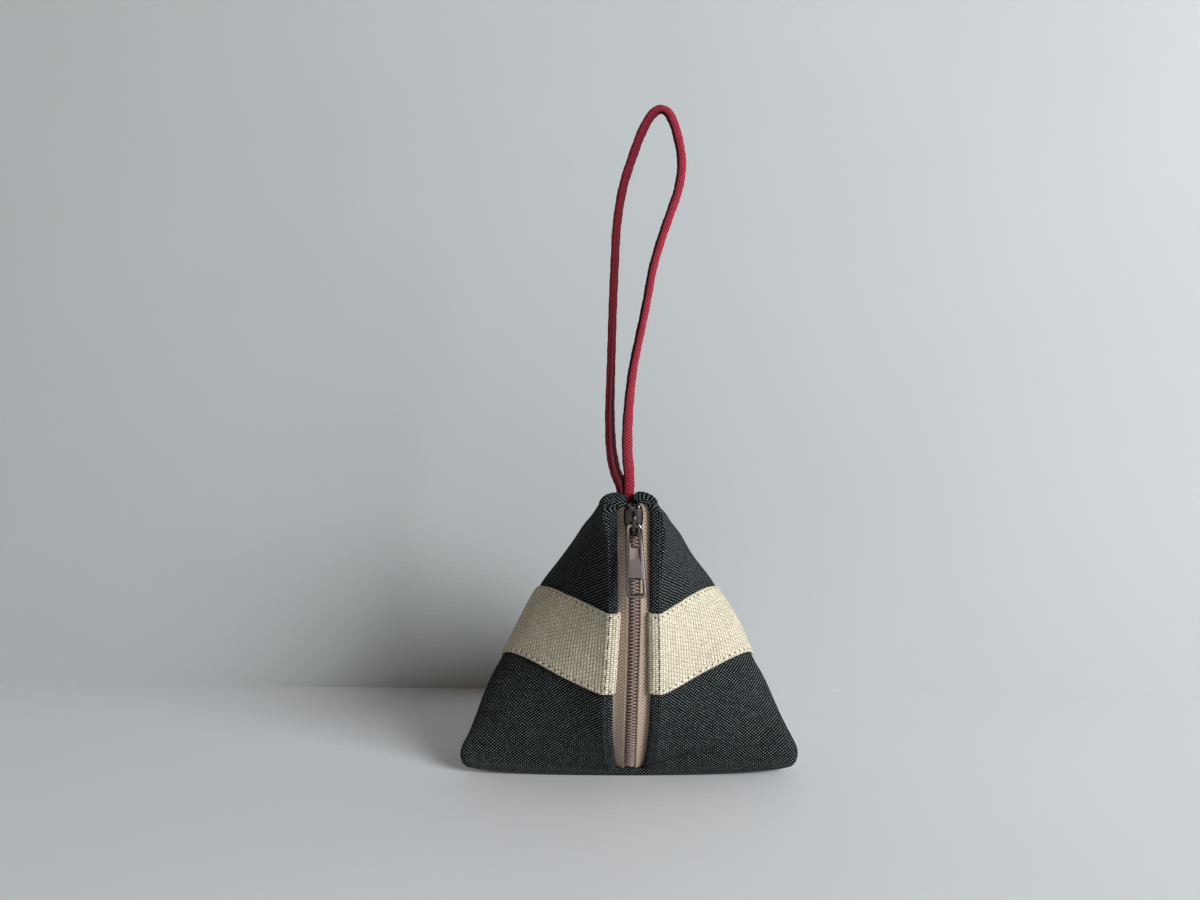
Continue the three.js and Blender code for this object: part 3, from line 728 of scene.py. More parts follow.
def tape_material():
    """Woven zip tape with one row of chevrons on each side."""
    nodes = Surface("zip_tape_herringbone", 0.8)
    uv, u, v = nodes.cloth_uv()
    zig = nodes.math("ABSOLUTE", nodes.math("ABSOLUTE", u) - CHEVRON_MIDDLE) * CHEVRON_SLOPE
    line = nodes.math("SINE", (v + zig) * (2 * math.pi / CHEVRON_PITCH))
    ribs = nodes.math("SINE", u * (2 * math.pi / TAPE_RIB_PITCH))
    height = line + ribs * 0.25
    worn = nodes.range(nodes.noise(uv, 1.4, 3.0), 0.3, 0.75, 0.0, 0.35)
    base = nodes.mix(nodes.range(height, -1.0, 1.0), srgb(112, 92, 76), srgb(210, 188, 168))
    nodes.colour(nodes.mix(worn, base, srgb(190, 170, 154)))
    nodes.bumped(height, 0.06)
    nodes.set("Sheen Weight", 0.15)
    return nodes.material


def coil_material():
    """Satin nylon with slight unevenness."""
    nodes = Surface("zip_coil_nylon", 0.38)
    tone = nodes.noise(nodes.place(), 900.0, 2.0)
    nodes.colour(nodes.mix(tone, srgb(112, 92, 88), srgb(172, 148, 140)))
    nodes.set("Roughness", nodes.range(tone, 0.3, 0.7, 0.3, 0.46))
    return nodes.material


def metal_material(name, low, high, crown):
    """Dark bright plating with faint marks. Its crown makes a flat face mirror like a round one."""
    nodes = Surface(name, 0.2, 1.0)
    place = nodes.place()
    scratch = nodes.noise(nodes.scaled(place, (2600, 2600, 240)), 1.0, 3.0)
    cloud = nodes.noise(place, 260.0, 3.0)
    nodes.colour(nodes.mix(cloud, low, high))
    nodes.set("Roughness", nodes.range(cloud, 0.3, 0.7, 0.07, 0.14))
    across = nodes.split(place)[0] / MM - (SLIDER_OFF + TAB_SKEW / 2)
    nodes.bumped(across * across * -crown + scratch * 0.0016, 1.0)
    return nodes.material


def strap_material():
    """Burgundy strap cloth, a fine weave with a soft bloom and painted shade along its open fold."""
    nodes = Surface("burgundy_strap", 0.8)
    uv, height, over, *_ = weave(nodes, 0.6, 0.52, 0.3)
    girth, along, _ = nodes.split(uv)
    worn = nodes.range(nodes.noise(uv, 0.6, 3.0), 0.35, 0.7, 0.0, 0.4)
    thread = nodes.mix(over, srgb(118, 19, 37), srgb(202, 60, 82))
    face = nodes.mix(worn, thread, srgb(104, 10, 30))
    face = nodes.mix(nodes.range(height, 0.05, 0.4), srgb(64, 6, 18), face)
    # Painted shade: the cloth darkens towards both lips of the fold's open side, and more near the strap's
    # left root.
    first_lip_shade = nodes.range(girth, 0.3, 2.3, 1.0, 0.0)
    last_lip_shade = nodes.range(girth, STRAP_GIRTH - 2.0, STRAP_GIRTH - 0.2)
    deeper_shade_at_root = nodes.range(along, 34.0, 60.0, 1.0, 0.0)
    fold_painted_shade = nodes.mix(deeper_shade_at_root, srgb(72, 9, 24), srgb(24, 2, 7))
    nodes.colour(nodes.mix(nodes.math("MAXIMUM", first_lip_shade, last_lip_shade), face, fold_painted_shade))
    nodes.bumped(height, 0.07)
    nodes.set("Sheen Weight", 0.12)
    nodes.set("Sheen Roughness", 0.4)
    nodes.set("Sheen Tint", srgb(224, 110, 130))
    nodes.set("Specular IOR Level", 0.25)
    return nodes.material


def thread_material(name, low, high):
    """Twisted sewing thread."""
    nodes = Surface(name, 0.65)
    values = {"Vector": nodes.place(), "Scale": 900.0, "Distortion": 1.0}
    twist = nodes.add("TexWave", values).outputs["Fac"]
    nodes.colour(nodes.mix(twist, low, high))
    nodes.bumped(twist, 0.03)
    return nodes.material


def plain_cloth(name, low, high):
    """Fine cloth of the inner layers."""
    nodes = Surface(name, 0.9)
    fibre = nodes.noise(nodes.place(), 1400.0, 3.0)
    nodes.colour(nodes.mix(fibre, low, high))
    nodes.bumped(fibre, 0.05)
    return nodes.material


dark_linen = linen(
    "dark_linen", srgb(117, 124, 126), srgb(6, 8, 9), srgb(1, 1, 1), (0.64, 0.56), 0.16,
    dots=(0.2, 0.75), holes=(0.3, 0.8), uneven_dots=(0.65, 1.25),
)
cream_linen = linen(
    "cream_linen", srgb(236, 231, 213), srgb(217, 205, 179), srgb(62, 44, 22), (0.95, 0.74), 0.18,
    dots=(0.0, 0.6), holes=(0.2, 0.5), uneven_dots=(0.88, 1.06),
)
tape_cloth = tape_material()
nylon = coil_material()
gunmetal = metal_material("gunmetal_plating", srgb(134, 126, 123), srgb(152, 143, 138), crown=0.026)
# Painted shade: a darker copy of the gunmetal plating, for the dark reflections and shadow on the slider,
# its arch, the tab's edges and the rim of the tab's window.
shaded_gunmetal = metal_material("gunmetal_painted_shade", srgb(74, 69, 68), srgb(92, 86, 84), crown=0.05)
burgundy = strap_material()
dark_thread = thread_material("dark_thread", srgb(22, 24, 28), srgb(52, 56, 62))
cream_thread = thread_material("cream_thread", srgb(214, 202, 176), srgb(244, 236, 218))
burgundy_thread = thread_material("burgundy_thread", srgb(74, 8, 22), srgb(128, 26, 46))

# Cloth panels


def rows_between(low, high, step):
    count = max(2, int(math.ceil((high - low) / step)) + 1)
    return np.linspace(low, high, count)


def cloth_uv(grid, length, near, start, ease):
    """Cloth coordinates: length from the nearer hem, with both sides meeting at the back, and length up.

    Where the ease is under 1, the panel has a looser weave than its hems, whose cloth is pulled together.
    """
    whole = length[:, -1:]
    near = near + (HALF_GIRTH - whole / 2) * ramp(2 * near / whole, 0.4, 0.6)
    near = np.minimum(near, HEM_WIDTH) + ease * np.maximum(near - HEM_WIDTH, 0)
    far = HEM_WIDTH + ease * (HALF_GIRTH - HEM_WIDTH)
    u = np.where(length <= whole / 2, near, 2 * far - near)
    return np.stack((u, start + lengths_along(grid)), axis=2)


def dark_panel(heights, fade, seam, ease):
    """Points and coordinates of a dark panel, which the band's thread draws in at the seam."""
    grid = cloth_at(heights)
    length, near = around(grid)
    lift = (hem_lift(near, heights) + body_lift(grid, near)) * fade[:, None]
    grid = lifted(grid, lift - SEAM_PULL * bump(heights - seam, SEAM_PULL_LENGTH)[:, None])
    return grid, cloth_uv(grid, length, near, heights[0], ease)


def make_lower_panel():
    heights = rows_between(0, BAND_BOTTOM + TUCK_UNDER, ROW_STEP)
    grid, uv = dark_panel(heights, ramp(heights, 0, 5), BAND_BOTTOM, LOWER_EASE)
    foot, foot_uv = rolled_foot(grid[0], uv[0])
    return grid_piece("lower_cloth", np.concatenate((foot, grid)), np.concatenate((foot_uv, uv)))


def across_seam(part, tip):
    """Points across from half of the lower edge: on the base for its front, and the other way round."""
    wide = np.abs(part[:, 0])
    front, base = part[:tip + 1], part[tip:][::-1]
    to_base = at_places(wide[:tip], np.abs(base[:, 0]), base)
    to_front = at_places(wide[tip:], np.abs(front[:, 0]), front)
    return np.concatenate((to_base, to_front))


def rolled_foot(ring, ring_uv):
    """Rows that roll the open lower edge in to the bottom seam, where front and base meet."""
    half = len(ring) // 2
    tip = np.argmax(np.abs(ring[:half, 0]))
    right, left = (across_seam(part, tip) for part in (ring[:half + 1], ring[half:][::-1]))
    facing = np.concatenate((right[:-1], left[::-1]))
    facing[:, 0] = ring[:, 0]
    middle = (ring + facing) / 2
    radius = np.linalg.norm(ring - facing, axis=1, keepdims=True) / 2
    rows, uvs = [], []
    for degrees in ROLL_ANGLES:
        angle = math.radians(degrees)
        out = ROLL_OUT * radius * math.sin(angle) * (1 - ROLL_CREASE * bump(degrees - 90, 14))
        row = middle + (ring - middle) * math.cos(angle) + out
        row[:, 2] = np.maximum(row[:, 2], FLOOR_GAP)
        rows.append(row)
        uvs.append(ring_uv - (0, ROLL_CLOTH * angle))
    return np.array(rows), np.array(uvs)


def make_band():
    """Cream band, a little proud, with turned edges. Its points and normals place its threads."""
    edge, proud = np.array(BAND_PROFILE).T
    inner = rows_between(BAND_BOTTOM + BAND_EDGE_END, BAND_TOP - BAND_EDGE_END, ROW_STEP)
    heights = np.concatenate((BAND_BOTTOM + edge, inner, BAND_TOP - edge[::-1]))
    raised = np.concatenate((proud, np.full(len(inner), BAND_PROUD), proud[::-1]))
    grid = cloth_at(heights)
    length, near = around(grid)
    lift = hem_lift(near, heights) + body_lift(grid, near) + raised[:, None]
    normal = normals_of(cloth_at(np.linspace(heights[0], heights[-1], len(heights))))
    out = grid + normal * lift[..., None]
    out[..., 2] = np.maximum(out[..., 2], FLOOR_GAP)
    piece = grid_piece("band_cloth", out, cloth_uv(grid, length, near, heights[0], BAND_EASE))
    return piece, out, heights, near, normal


def make_upper_panel():
    heights = rows_between(BAND_TOP - TUCK_UNDER, ARCH_FROM, ROW_STEP)
    heights = np.concatenate((heights[:-1], rows_between(ARCH_FROM, PANEL_HEIGHT, FINE_STEP)))
    grid, uv = dark_panel(heights, ramp(heights, PANEL_HEIGHT, -8), BAND_TOP, UPPER_EASE)
    roof, roof_uv = rolled_apex(grid[-1], uv[-1])
    return grid_piece("upper_cloth", np.concatenate((grid, roof)), np.concatenate((uv, roof_uv)))


def rolled_apex(ring, ring_uv):
    """Rows that roll both sides over into the slit of the back seam."""
    side = np.sign(ring[:, 0])
    width = np.abs(ring[:, 0])
    closed = ramp(ring[:, 1], SLIT_END[0], SLIT_END[1] - SLIT_END[0])
    slit = SLIT_HALF + (SEAM_HALF - SLIT_HALF) * closed
    radius = np.maximum(width - slit, 0) / 2
    rise = radius * np.where(side < 0, *LOBE_RISE)
    skew = np.where(side < 0, *LOBE_SKEW)
    rows, uvs = [], []
    for angle in np.radians(LOBE_ANGLES):
        row = ring.copy()
        row[:, 0] = side * (width - 2 * radius * (1 - (0.5 + 0.5 * math.cos(angle)) ** skew))
        row[:, 1] += LOBE_LEAN * radius * math.sin(angle)
        row[:, 2] += rise * math.sin(angle)
        rows.append(row)
        uvs.append(ring_uv + np.stack((np.zeros_like(radius), radius * angle), axis=1))
    return np.array(rows), np.array(uvs)


def make_foot():
    """Strip of dark cloth under the lower end of the zip, where the bottom seam crosses it."""
    xs = np.linspace(-FOOT_HALF, FOOT_HALF, 25)
    front = zip_line(0)[0]
    grid = np.array([[(x, front + dy, z) for x in xs] for dy, z in FOOT_PROFILE])
    along = lengths_along(np.array(FOOT_PROFILE))
    uv = np.stack(np.broadcast_arrays(xs[None, :], -along[:, None]), axis=2)
    return grid_piece("foot_cloth", grid, uv)


dress(make_lower_panel(), dark_linen, "bag", "dark_linen", "lower_panel")
band, band_grid, band_heights, band_near, band_normal = make_band()
dress(band, cream_linen, "bag", "cream_linen", "band_panel")
dress(make_upper_panel(), dark_linen, "bag", "dark_linen", "upper_panel", "back_seam")
dress(make_foot(), dark_linen, "bag", "dark_linen", "bottom_seam")

# Stitches


def pressed(points):
    """Points with those under the bag pressed flat on the floor."""
    points[:, 2] = np.maximum(points[:, 2], THREAD_GAP)
    return points


def stitches(name, path, normal, length, gap, radius, sides=6, steps=5):
    """Row of single stitches that lie on a path, each a short thread with sunken ends."""
    along = lengths_along(path)
    swell = np.sin(np.linspace(0.16, math.pi - 0.16, steps))
    outline = circle(sides) * (1, 0.85) * (radius * (0.55 + 0.45 * swell))[:, None, None]
    points, faces = [], []
    for i in range(int(along[-1] / (length + gap))):
        places = i * (length + gap) + gap / 2 + np.linspace(0, length, steps)
        centre, up = (at_places(places, along, values) for values in (path, normal))
        side = np.cross(unit(np.gradient(centre, axis=0)), up)
        centre = centre + up * (radius * (1.1 * swell - 0.7))[:, None]
        points.append(swept(centre, side, up, outline).reshape(-1, 3))
        faces += swept_faces(steps, sides, i * steps * sides)
    return mesh_piece(name, pressed(np.concatenate(points)), faces)


def hem_path(sign):
    """Thread line along one hem, with the outward normals."""
    heights = np.arange(*HEM_THREAD)
    on_band = ramp(heights, BAND_BOTTOM, 0.5) * ramp(heights, BAND_TOP, -0.5)
    across = zip_wander(heights) + sign * (edge_half(heights) + STITCH_LINE)
    depths = HEM_THREAD_DEPTH - BAND_PROUD * on_band
    path = np.array([zip_point(*values) for values in zip(across, depths, heights)])
    tilts = np.array([zip_line(h)[2] for h in heights])
    normal = np.stack((np.zeros_like(tilts), -np.cos(tilts), -np.sin(tilts)), axis=1)
    return path, normal


def needle_holes(name, path, normal, sides=8):
    """Small dark dimples where the needle went in, as shallow discs on a path."""
    along = lengths_along(path)
    places = np.arange(HOLE_STEP, along[-1], HOLE_STEP)
    fields = path, normal, np.gradient(path, axis=0)
    centre, up, ahead = (at_places(places, along, values) for values in fields)
    ahead = unit(ahead)
    rims = swept(centre + HOLE_RIM * up, ahead, np.cross(ahead, up), HOLE_RADIUS * circle(sides))
    floors = (centre + HOLE_FLOOR * up)[:, None]
    points = np.concatenate((rims, floors), axis=1).reshape(-1, 3)
    firsts = range(0, len(points), sides + 1)
    faces = [(f + k, f + (k + 1) % sides, f + sides) for f in firsts for k in range(sides)]
    return mesh_piece(name, pressed(points), faces)


for side, sign in SIDES:
    row = stitches(f"hem_thread_{side}", *hem_path(sign), *HEM_STITCHES)
    dress(row, dark_thread, "bag", "dark_thread", f"zip_stitch_{side}")

for edge, height in (("lower", BAND_BOTTOM + BAND_STITCH), ("upper", BAND_TOP - BAND_STITCH)):
    at = int(np.argmin(np.abs(band_heights - height)))
    free = band_near[at] > 0.8
    line = band_grid[at][free], band_normal[at][free]
    dress(stitches(f"band_thread_{edge}", *line, *BAND_STITCHES), cream_thread, "bag", "cream_linen")
    dress(needle_holes(f"band_holes_{edge}", *line), dark_thread, "bag", "dark_thread")

# Zip tapes and coils


def make_tape(side, sign):
    """Tape from the coil to just behind the folded edge of the cloth."""
    shares = np.concatenate((np.linspace(0, 0.4, 10), np.linspace(0.46, 1, 13)))
    climbs = np.linspace(0, 1, TAPE_ROWS)[:, None]
    x = TAPE_FROM + shares * (edge_half(climbs * PANEL_HEIGHT) + TAPE_WIDER)
    top = TAPE_TOP - 1.6 * bump(x, 1.3)
    jag = ZIP_FROM + 0.5 * np.abs((x / TAPE_JAG) % 1 - 0.5)
    height = jag + climbs * (top - jag)
    cord = TAPE_CORD * bump(x - 2.4, 0.45)
    ridge = TAPE_RIDGE * smooth(x - 1.2) * (1 - ramp(x, 2.2, 4.2))
    depth = TAPE_DEPTH - cord - ridge + TAPE_SINK * ramp(x, 2, 4)
    rows = zip(zip_wander(height) + sign * x, depth, height)
    grid = np.array([[zip_point(*values) for values in zip(*row)] for row in rows])
    return grid_piece(f"tape_{side}", grid, np.stack((sign * x, height), axis=2))


def make_coil(side, sign):
    """One continuous wire that winds up the edge of a tape."""
    turns = int((COIL_TO - COIL_FROM) / COIL_PITCH)
    mid, reach = (COIL_OUTER + COIL_INNER) / 2, (COIL_OUTER - COIL_INNER) / 2
    deep, rise = (COIL_BACK + COIL_FRONT) / 2, (COIL_BACK - COIL_FRONT) / 2
    start = 0 if sign > 0 else 0.5
    centre = []
    for k in range(turns * COIL_STEPS + 1):
        turn = 2 * math.pi * k / COIL_STEPS
        h = COIL_FROM + COIL_PITCH * (k / COIL_STEPS + start)
        x = mid + reach * math.cos(turn)
        depth = deep - rise * math.sin(turn) * (0.8 + 0.2 * abs(math.cos(turn)))
        centre.append(zip_point(zip_wander(h) + sign * x, depth, h))
    centre = np.array(centre)
    ahead = unit(np.gradient(centre, axis=0))
    across = unit(np.cross(ahead, (0.0, 0.3, 0.95)))
    points = swept(centre, across, np.cross(across, ahead), COIL_WIRE * circle(COIL_SIDES))
    return mesh_piece(f"coil_{side}", points.reshape(-1, 3), swept_faces(len(centre), COIL_SIDES))


for side, sign in SIDES:
    dress(make_tape(side, sign), tape_cloth, "bag", "zip_tape", f"zip_tape_{side}")
    dress(make_coil(side, sign), nylon, "bag", "zip_coil", f"zip_coil_{side}")

# Slider, bridge and pull tab


def on_zip(points):
    """Moves points of x, height and outward distance to the slider's place on the zip."""
    lean = math.radians(ZIP_LEAN)
    up = (0, -math.sin(lean), math.cos(lean))
    out = (0, -math.cos(lean), -math.sin(lean))
    return zip_point(SLIDER_OFF, 0, SLIDER_BOTTOM) + points @ np.array(((1, 0, 0), up, out))


def rounded(corners, radius, steps=5):
    """Closed outline with its corners rounded, as curves between the points beside each corner."""
    corners = np.array(corners, dtype=float)
    outline = []
    for i, corner in enumerate(corners):
        arms = corners[[i - 1, (i + 1) % len(corners)]] - corner
        reach = min(radius, *np.linalg.norm(arms, axis=1) / 2)
        a, b = corner + unit(arms) * reach
        for t in np.linspace(0, 1, steps):
            outline.append((1 - t) ** 2 * a + 2 * t * (1 - t) * corner + t ** 2 * b)
    return outline


def rounded_box(widths, low, high, radius, steps=5):
    """Upright outline with its widths at the low and the high end."""
    a, b = (width / 2 for width in widths)
    return rounded(((-a, low), (a, low), (b, high), (-b, high)), radius, steps)


def plate(outlines, thickness, edge):
    """Plate with holes and rounded edges, as points of x, height and outward distance, and faces."""
    data = bpy.data.curves.new("plate", "CURVE")
    data.dimensions = "2D"
    data.fill_mode = "BOTH"
    data.extrude = thickness / 2 - edge
    data.bevel_depth = edge
    data.bevel_resolution = 3
    data.offset = -edge
    for outline in outlines:
        spline = data.splines.new("POLY")
        spline.points.add(len(outline) - 1)
        for point, (x, y) in zip(spline.points, outline):
            point.co = (x, y, 0, 1)
        spline.use_cyclic_u = True
    holder = new_object("plate", data)
    bpy.context.view_layer.update()
    made = bpy.data.meshes.new_from_object(holder.evaluated_get(bpy.context.evaluated_depsgraph_get()))
    builder = bmesh.new()
    builder.from_mesh(made)
    bmesh.ops.remove_doubles(builder, verts=builder.verts, dist=1e-4)
    builder.verts.ensure_lookup_table()
    points = np.array([v.co for v in builder.verts])
    faces = [tuple(v.index for v in f.verts) for f in builder.faces]
    builder.free()
    bpy.data.objects.remove(holder)
    bpy.data.curves.remove(data)
    bpy.data.meshes.remove(made)
    return points, faces


def slider_front():
    """Front plate of the slider with its side lips, swept along the zip."""
    front = -SLIDER_FACE
    across = np.linspace(-1, 1, 15)
    rings = []
    for share in np.linspace(0, 1, 25):
        ends = 1 - 0.9 * abs(2 * share - 1) ** 7
        taper = 1 - 0.16 * max(0, share - 0.8) / 0.2
        half = (SLIDER_NOSE + (SLIDER_WIDTH - SLIDER_NOSE) * smooth(share / 0.6)) / 2 * taper
        hollow = half - SLIDER_WALL
        bevelled = half - SLIDER_BEVEL
        lip = front - 1.0 - (0.5 + ramp(share, 0.2, 0.3)) * ends
        outer = [(half * x, front - 0.55 * abs(x) ** 5 + 0.5 * ends * (1 - x * x) - 0.5) for x in across]
        inner = [(hollow * x, front - 1.05 - 0.2 * abs(x) ** 4) for x in across[::-1]]
        ring = [(-bevelled, lip), *outer, (bevelled, lip), (hollow, lip), *inner, (-hollow, lip)]
        rings.append([(x, SLIDER_LENGTH * share, out) for x, out in ring])
    rings = np.array(rings)
    return rings.reshape(-1, 3), swept_faces(*rings.shape[:2])


def slider_back():
    """Plate of the slider behind the zip."""
    half, nose = SLIDER_WIDTH / 2, SLIDER_NOSE / 2
    corners = (
        (-nose, 0), (nose, 0), (half, SLIDER_NOSE_LENGTH),
        (half, SLIDER_LENGTH), (-half, SLIDER_LENGTH), (-half, SLIDER_NOSE_LENGTH),
    )
    points, faces = plate([rounded(corners, 1.2)], 1.0, 0.3)
    return points - (0, 0, SLIDER_BACK), faces


def make_slider():
    front, front_faces = slider_front()
    back, back_faces = slider_back()
    faces = front_faces + [tuple(len(front) + i for i in face) for face in back_faces]
    return mesh_piece("slider_shell", on_zip(np.concatenate((front, back))), faces, crisp=40)


def make_bridge():
    """Arch that holds the tab, swept from its lower foot over to its upper foot."""
    low, high = BRIDGE_FROM + BRIDGE_BAR / 2, BRIDGE_FROM + BRIDGE_LENGTH - BRIDGE_BAR / 2
    angles = np.linspace(0, math.pi, BRIDGE_STEPS)
    heights = low + (high - low) * (1 - np.cos(angles)) / 2
    out = -SLIDER_FACE - BRIDGE_SUNK + BRIDGE_RISE * np.abs(np.sin(angles)) ** 0.5
    path = np.stack((np.zeros_like(out), heights, out), axis=1)
    across = np.broadcast_to((1.0, 0.0, 0.0), path.shape)
    up = np.cross(across, unit(np.gradient(path, axis=0)))
    outline = circle(BRIDGE_SIDES, 0.6) * (BRIDGE_WIDTH / 2, BRIDGE_BAR / 2)
    points = swept(path, across, up, outline).reshape(-1, 3)
    return mesh_piece("slider_arch", on_zip(points), swept_faces(BRIDGE_STEPS, BRIDGE_SIDES), crisp=50)


def tab_outlines():
    """Outlines of the tab's body, its eye, its window and the window's rim, below the pivot."""
    top = TAB_BAR / 2
    bottom = top - TAB_LENGTH
    eye_top = top - TAB_BAR
    low, high = bottom + WINDOW_MARGIN, bottom + WINDOW_MARGIN + WINDOW_LENGTH
    body = rounded_box((TAB_BOTTOM_WIDTH, TAB_TOP_WIDTH), bottom, top, TAB_CORNER, 8)
    eye = rounded_box((EYE_WIDTH, EYE_WIDTH), eye_top - EYE_LENGTH, eye_top, EYE_CORNER, 8)
    window = rounded_box((WINDOW_WIDTH, WINDOW_WIDTH), low, high, WINDOW_CORNER)
    rim = [(x * RIM_WIDEN, y + RIM_BAR * np.sign(y - (low + high) / 2)) for x, y in window]
    return body, eye, window, rim


def tab_piece(name, outlines, thickness, edge):
    """Plate of the tab, slightly bent and hanging from its pivot a little to the right."""
    points, faces = plate(outlines, thickness, edge)
    x, height, out = points.T
    down = np.clip(-height / TAB_LENGTH, 0, 1)
    out = out + TAB_BOW * np.sin(np.pi * down) - 0.2 * (x / 3) ** 2
    hung = TAB_PIVOT + np.stack((x + SLIDER_OFF + TAB_SKEW * down, -out, height), axis=1)
    return mesh_piece(name, hung, faces, crisp=40)


# The slider and its arch take the painted-shade copy of the gunmetal, which stands in for their dark
# reflections.
dress(make_slider(), shaded_gunmetal, "slider", "gunmetal", "slider_body")
dress(make_bridge(), shaded_gunmetal, "slider", "gunmetal", "slider_bridge")
body, eye, window, rim = tab_outlines()
tab = tab_piece("tab_plate", [body, eye, window], TAB_THICKNESS, TAB_EDGE)
dress(tab, gunmetal, "pull_tab", "gunmetal", "pull_tab")
tab.data.materials.append(shaded_gunmetal)
for polygon in tab.data.polygons:
    polygon.material_index = int(abs(polygon.normal.y) < 0.95)  # painted shade: the edges take the darker copy of the gunmetal, so they look darker than the faces
# Painted shade: the window's rim takes the darker copy of the gunmetal, for the shadow on its inner wall.
tab_rim = tab_piece("tab_rim", [rim, window], TAB_THICKNESS + RIM_PROUD, RIM_EDGE)
dress(tab_rim, shaded_gunmetal, "pull_tab", "gunmetal")

# Wrist loop


def spline(points, count):
    """Smooth curve through points, spaced evenly. Uneven gaps between the points make no loops in it."""
    points = np.array(points, dtype=float)
    points = np.concatenate(([2 * points[0] - points[1]], points, [2 * points[-1] - points[-2]]))
    gaps = np.linalg.norm(np.diff(points, axis=0), axis=1)
    knots = np.insert(np.cumsum(np.sqrt(gaps)), 0, 0)
    curve = [points[1]]
    for i in range(1, len(points) - 2):
        for t in np.linspace(knots[i], knots[i + 1], 25)[1:]:
            level = points[i - 1:i + 3]
            for reach, first in ((1, i - 1), (2, i - 1), (1, i)):
                low = knots[first:first + len(level) - 1, None]
                high = knots[first + reach:first + reach + len(level) - 1, None]
                level = ((high - t) * level[:-1] + (t - low) * level[1:]) / (high - low)
            curve.append(level[0])
    return resampled(np.array(curve), np.linspace(0, 1, count))


def strap_line():
    """Middle line of the strap, from its left end over the top of the loop to its right end."""
    ends = [(-ROOT_HALF * ROOT_NARROW, -ROOT_DEPTH), (-ROOT_HALF, 1.0)]
    left = [(LOOP_PIVOT_X + x, height) for x, height in ends]
    right = [(LOOP_PIVOT_X - x, height) for x, height in ends[::-1]]
    x, height = spline([*left, *STRAP_POINTS, *right], STRAP_RINGS).T
    apart = STRAP_APART * np.linspace(1, -1, STRAP_RINGS) * (1 - smooth(height / STRAP_APART_LENGTH))
    return np.stack((x, STRAP_Y + apart, LOOP_PIVOT_Z + height), axis=1)


def strap_outline():
    """Section of the folded strap, with a groove between the lips of its open side."""
    half = STRAP_WIDTH / 2
    wide, thick = (circle(STRAP_SIDES, 0.9) * (half, STRAP_THICKNESS / 2)).T
    turns = np.linspace(0, 2 * math.pi, STRAP_SIDES, endpoint=False)
    wide = wide - STRAP_GROOVE * bump(np.minimum(turns, 2 * math.pi - turns), 0.3)
    thick = thick - 0.12 * np.sign(thick) * bump(wide - half * 0.44, 0.22)
    return np.stack((wide, thick), axis=1)


def make_strap():
    """Folded strap, with the line and the normals of its thread."""
    line = strap_line()
    along = lengths_along(line)
    share = along / along[-1]
    ahead = unit(np.gradient(line, axis=0))
    side = unit(np.cross((0.0, 1.0, 0.0), ahead))
    face = np.cross(ahead, side)
    at_left = 1 - smooth(share / 0.3)
    at_right = ramp(share, 0.8, 0.16)
    turn = STRAP_TURN + STRAP_SWAY * np.sin(share * 9.0)
    turn = -np.radians(turn + STRAP_END_TURNS[LEFT] * at_left + STRAP_END_TURNS[RIGHT] * at_right)[:, None]
    wide = side * np.cos(turn) + face * np.sin(turn)
    thick = face * np.cos(turn) - side * np.sin(turn)
    ripple = 1 + 0.03 * np.sin(along * 2.4) + 0.03 * np.sin(along * 0.83 + 1.0)
    width = ripple * (1.26 + 0.06 * np.sin(share * 14 + 0.8) + 0.2 * at_right)
    depth = ripple * (1.3 + 1.1 * at_left ** 2)
    outline = strap_outline()
    rings = swept(line, wide, thick, outline * np.stack((width, depth), axis=1)[:, None])
    girth = lengths_along(outline)
    girth *= STRAP_GIRTH / (girth[-1] + girth[1])
    uv = np.stack(np.broadcast_arrays(girth[None, :], along[:, None]), axis=2).reshape(-1, 2)
    piece = mesh_piece("loop_strap", rings.reshape(-1, 3), swept_faces(STRAP_RINGS, STRAP_SIDES), uv)
    thread_line = line + wide * (STRAP_WIDTH * 0.22) + thick * (STRAP_THICKNESS * 0.47)
    sewn = slice(THREADLESS_RINGS, -THREADLESS_RINGS)
    return piece, thread_line[sewn], thick[sewn]


strap, *strap_thread = make_strap()
paint(strap, burgundy)
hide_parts("wrist_loop", "loop_root")
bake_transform(strap)
dress(stitches("loop_thread", *strap_thread, *LOOP_STITCHES), burgundy_thread, "loop", "strap")

# Inner layers keep their solids
felt = plain_cloth("interlining_felt", srgb(226, 224, 218), srgb(244, 243, 238))
paint(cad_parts["interlining"], felt)
lining_cloth = plain_cloth("lining_cloth", srgb(176, 168, 152), srgb(196, 188, 172))
paint(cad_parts["lining"], lining_cloth)

# Room, light and camera


def room_wide(low, high):
    """Corners of a rectangle as wide as the room, going round from its low to its high side."""
    return (-ROOM_HALF, low), (ROOM_HALF, low), (ROOM_HALF, high), (-ROOM_HALF, high)


def stage_plane(name, corners, facing, low, high, roughness):
    """Plain plane of the room. Gives the nodes of its material."""
    piece = mesh_piece(name, corners, [(0, 1, 2, 3)], facing=Vector(facing))
    nodes = Surface(name, roughness)
    place = nodes.place()
    nodes.colour(nodes.mix(nodes.noise(place, 9.0, 3.0), low, high))
    nodes.bumped(nodes.noise(place, 120.0, 3.0), 0.05, 0.4)
    nodes.set("Specular IOR Level", 0.15)
    paint(piece, nodes.material)
    return nodes


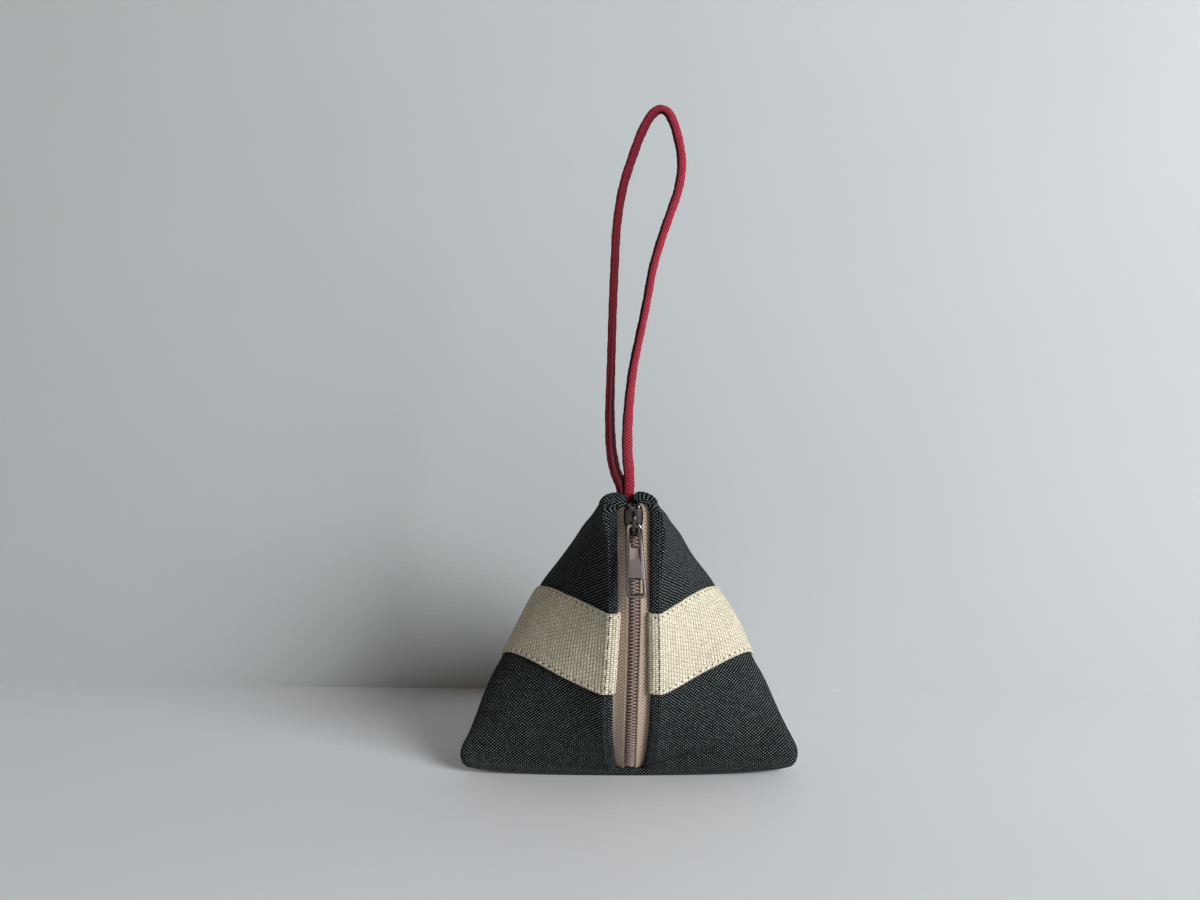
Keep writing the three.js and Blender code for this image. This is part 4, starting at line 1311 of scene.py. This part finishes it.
def see_through_from_behind(nodes):
    """Leaves a plane out where it is seen from behind, so that it never hides the bag."""
    behind = nodes.add("NewGeometry").outputs["Backfacing"]
    clear = nodes.add("BsdfTransparent").outputs["BSDF"]
    joined = nodes.add("MixShader", {0: behind, 1: nodes.shader.outputs["BSDF"], 2: clear})
    nodes.put(nodes.tree.nodes["Material Output"].inputs["Surface"], joined.outputs["Shader"])


def window_light():
    """Large soft light from the right, in front of the bag."""
    data = bpy.data.lights.new("window", "AREA")
    data.shape = "RECTANGLE"
    data.size, data.size_y = LIGHT_SIZE
    data.energy = LIGHT_POWER
    data.color = LIGHT_COLOUR
    lamp = new_object("window", data)
    lamp.location = LIGHT_PLACE * MM
    lamp.rotation_euler = (LIGHT_TARGET - LIGHT_PLACE).to_track_quat("-Z", "Y").to_euler()


def room_light():
    """Weak warm light from all round. Metal also mirrors a pale part of the room behind the camera."""
    world = bpy.data.worlds.new("room")
    world.use_nodes = True
    nodes = Nodes(world.node_tree)
    around_bag = nodes.add("TexCoord").outputs["Generated"]
    values = {0: around_bag, 1: Vector(PALE_TOWARDS).normalized()}
    towards = nodes.add("VectorMath", values, operation="DOT_PRODUCT").outputs["Value"]
    mirrored = nodes.mix(nodes.range(towards, *PALE_EDGE), ROOM_DARK, ROOM_PALE)
    glossy = nodes.add("LightPath").outputs["Is Glossy Ray"]
    nodes.put(nodes.tree.nodes["Background"].inputs["Color"], nodes.mix(glossy, ROOM_FILL, mirrored))
    bpy.context.scene.world = world


def make_camera():
    data = bpy.data.cameras.new("camera")
    data.lens = CAMERA_LENS
    data.sensor_width = CAMERA_SENSOR
    camera = new_object("camera", data)
    camera.location = Vector(CAMERA) * MM
    camera.rotation_euler = (math.radians(90), 0, 0)
    bpy.context.scene.camera = camera


floor_corners = [(x, y, 0) for x, y in room_wide(-ROOM_HALF, FLOOR_BACK)]
stage_plane("floor", floor_corners, (0, 0, 1), srgb(228, 230, 234), srgb(233, 235, 239), 0.5)
wall_slope = math.tan(math.radians(WALL_TURN))
wall_corners = [(x, WALL_Y + x * wall_slope, z) for x, z in room_wide(0, WALL_HEIGHT)]
wall = stage_plane("wall", wall_corners, (0, -1, 0), srgb(192, 196, 198), srgb(198, 202, 204), 0.6)
see_through_from_behind(wall)
window_light()
room_light()
make_camera()
bpy.context.scene.view_settings.view_transform = "Standard"
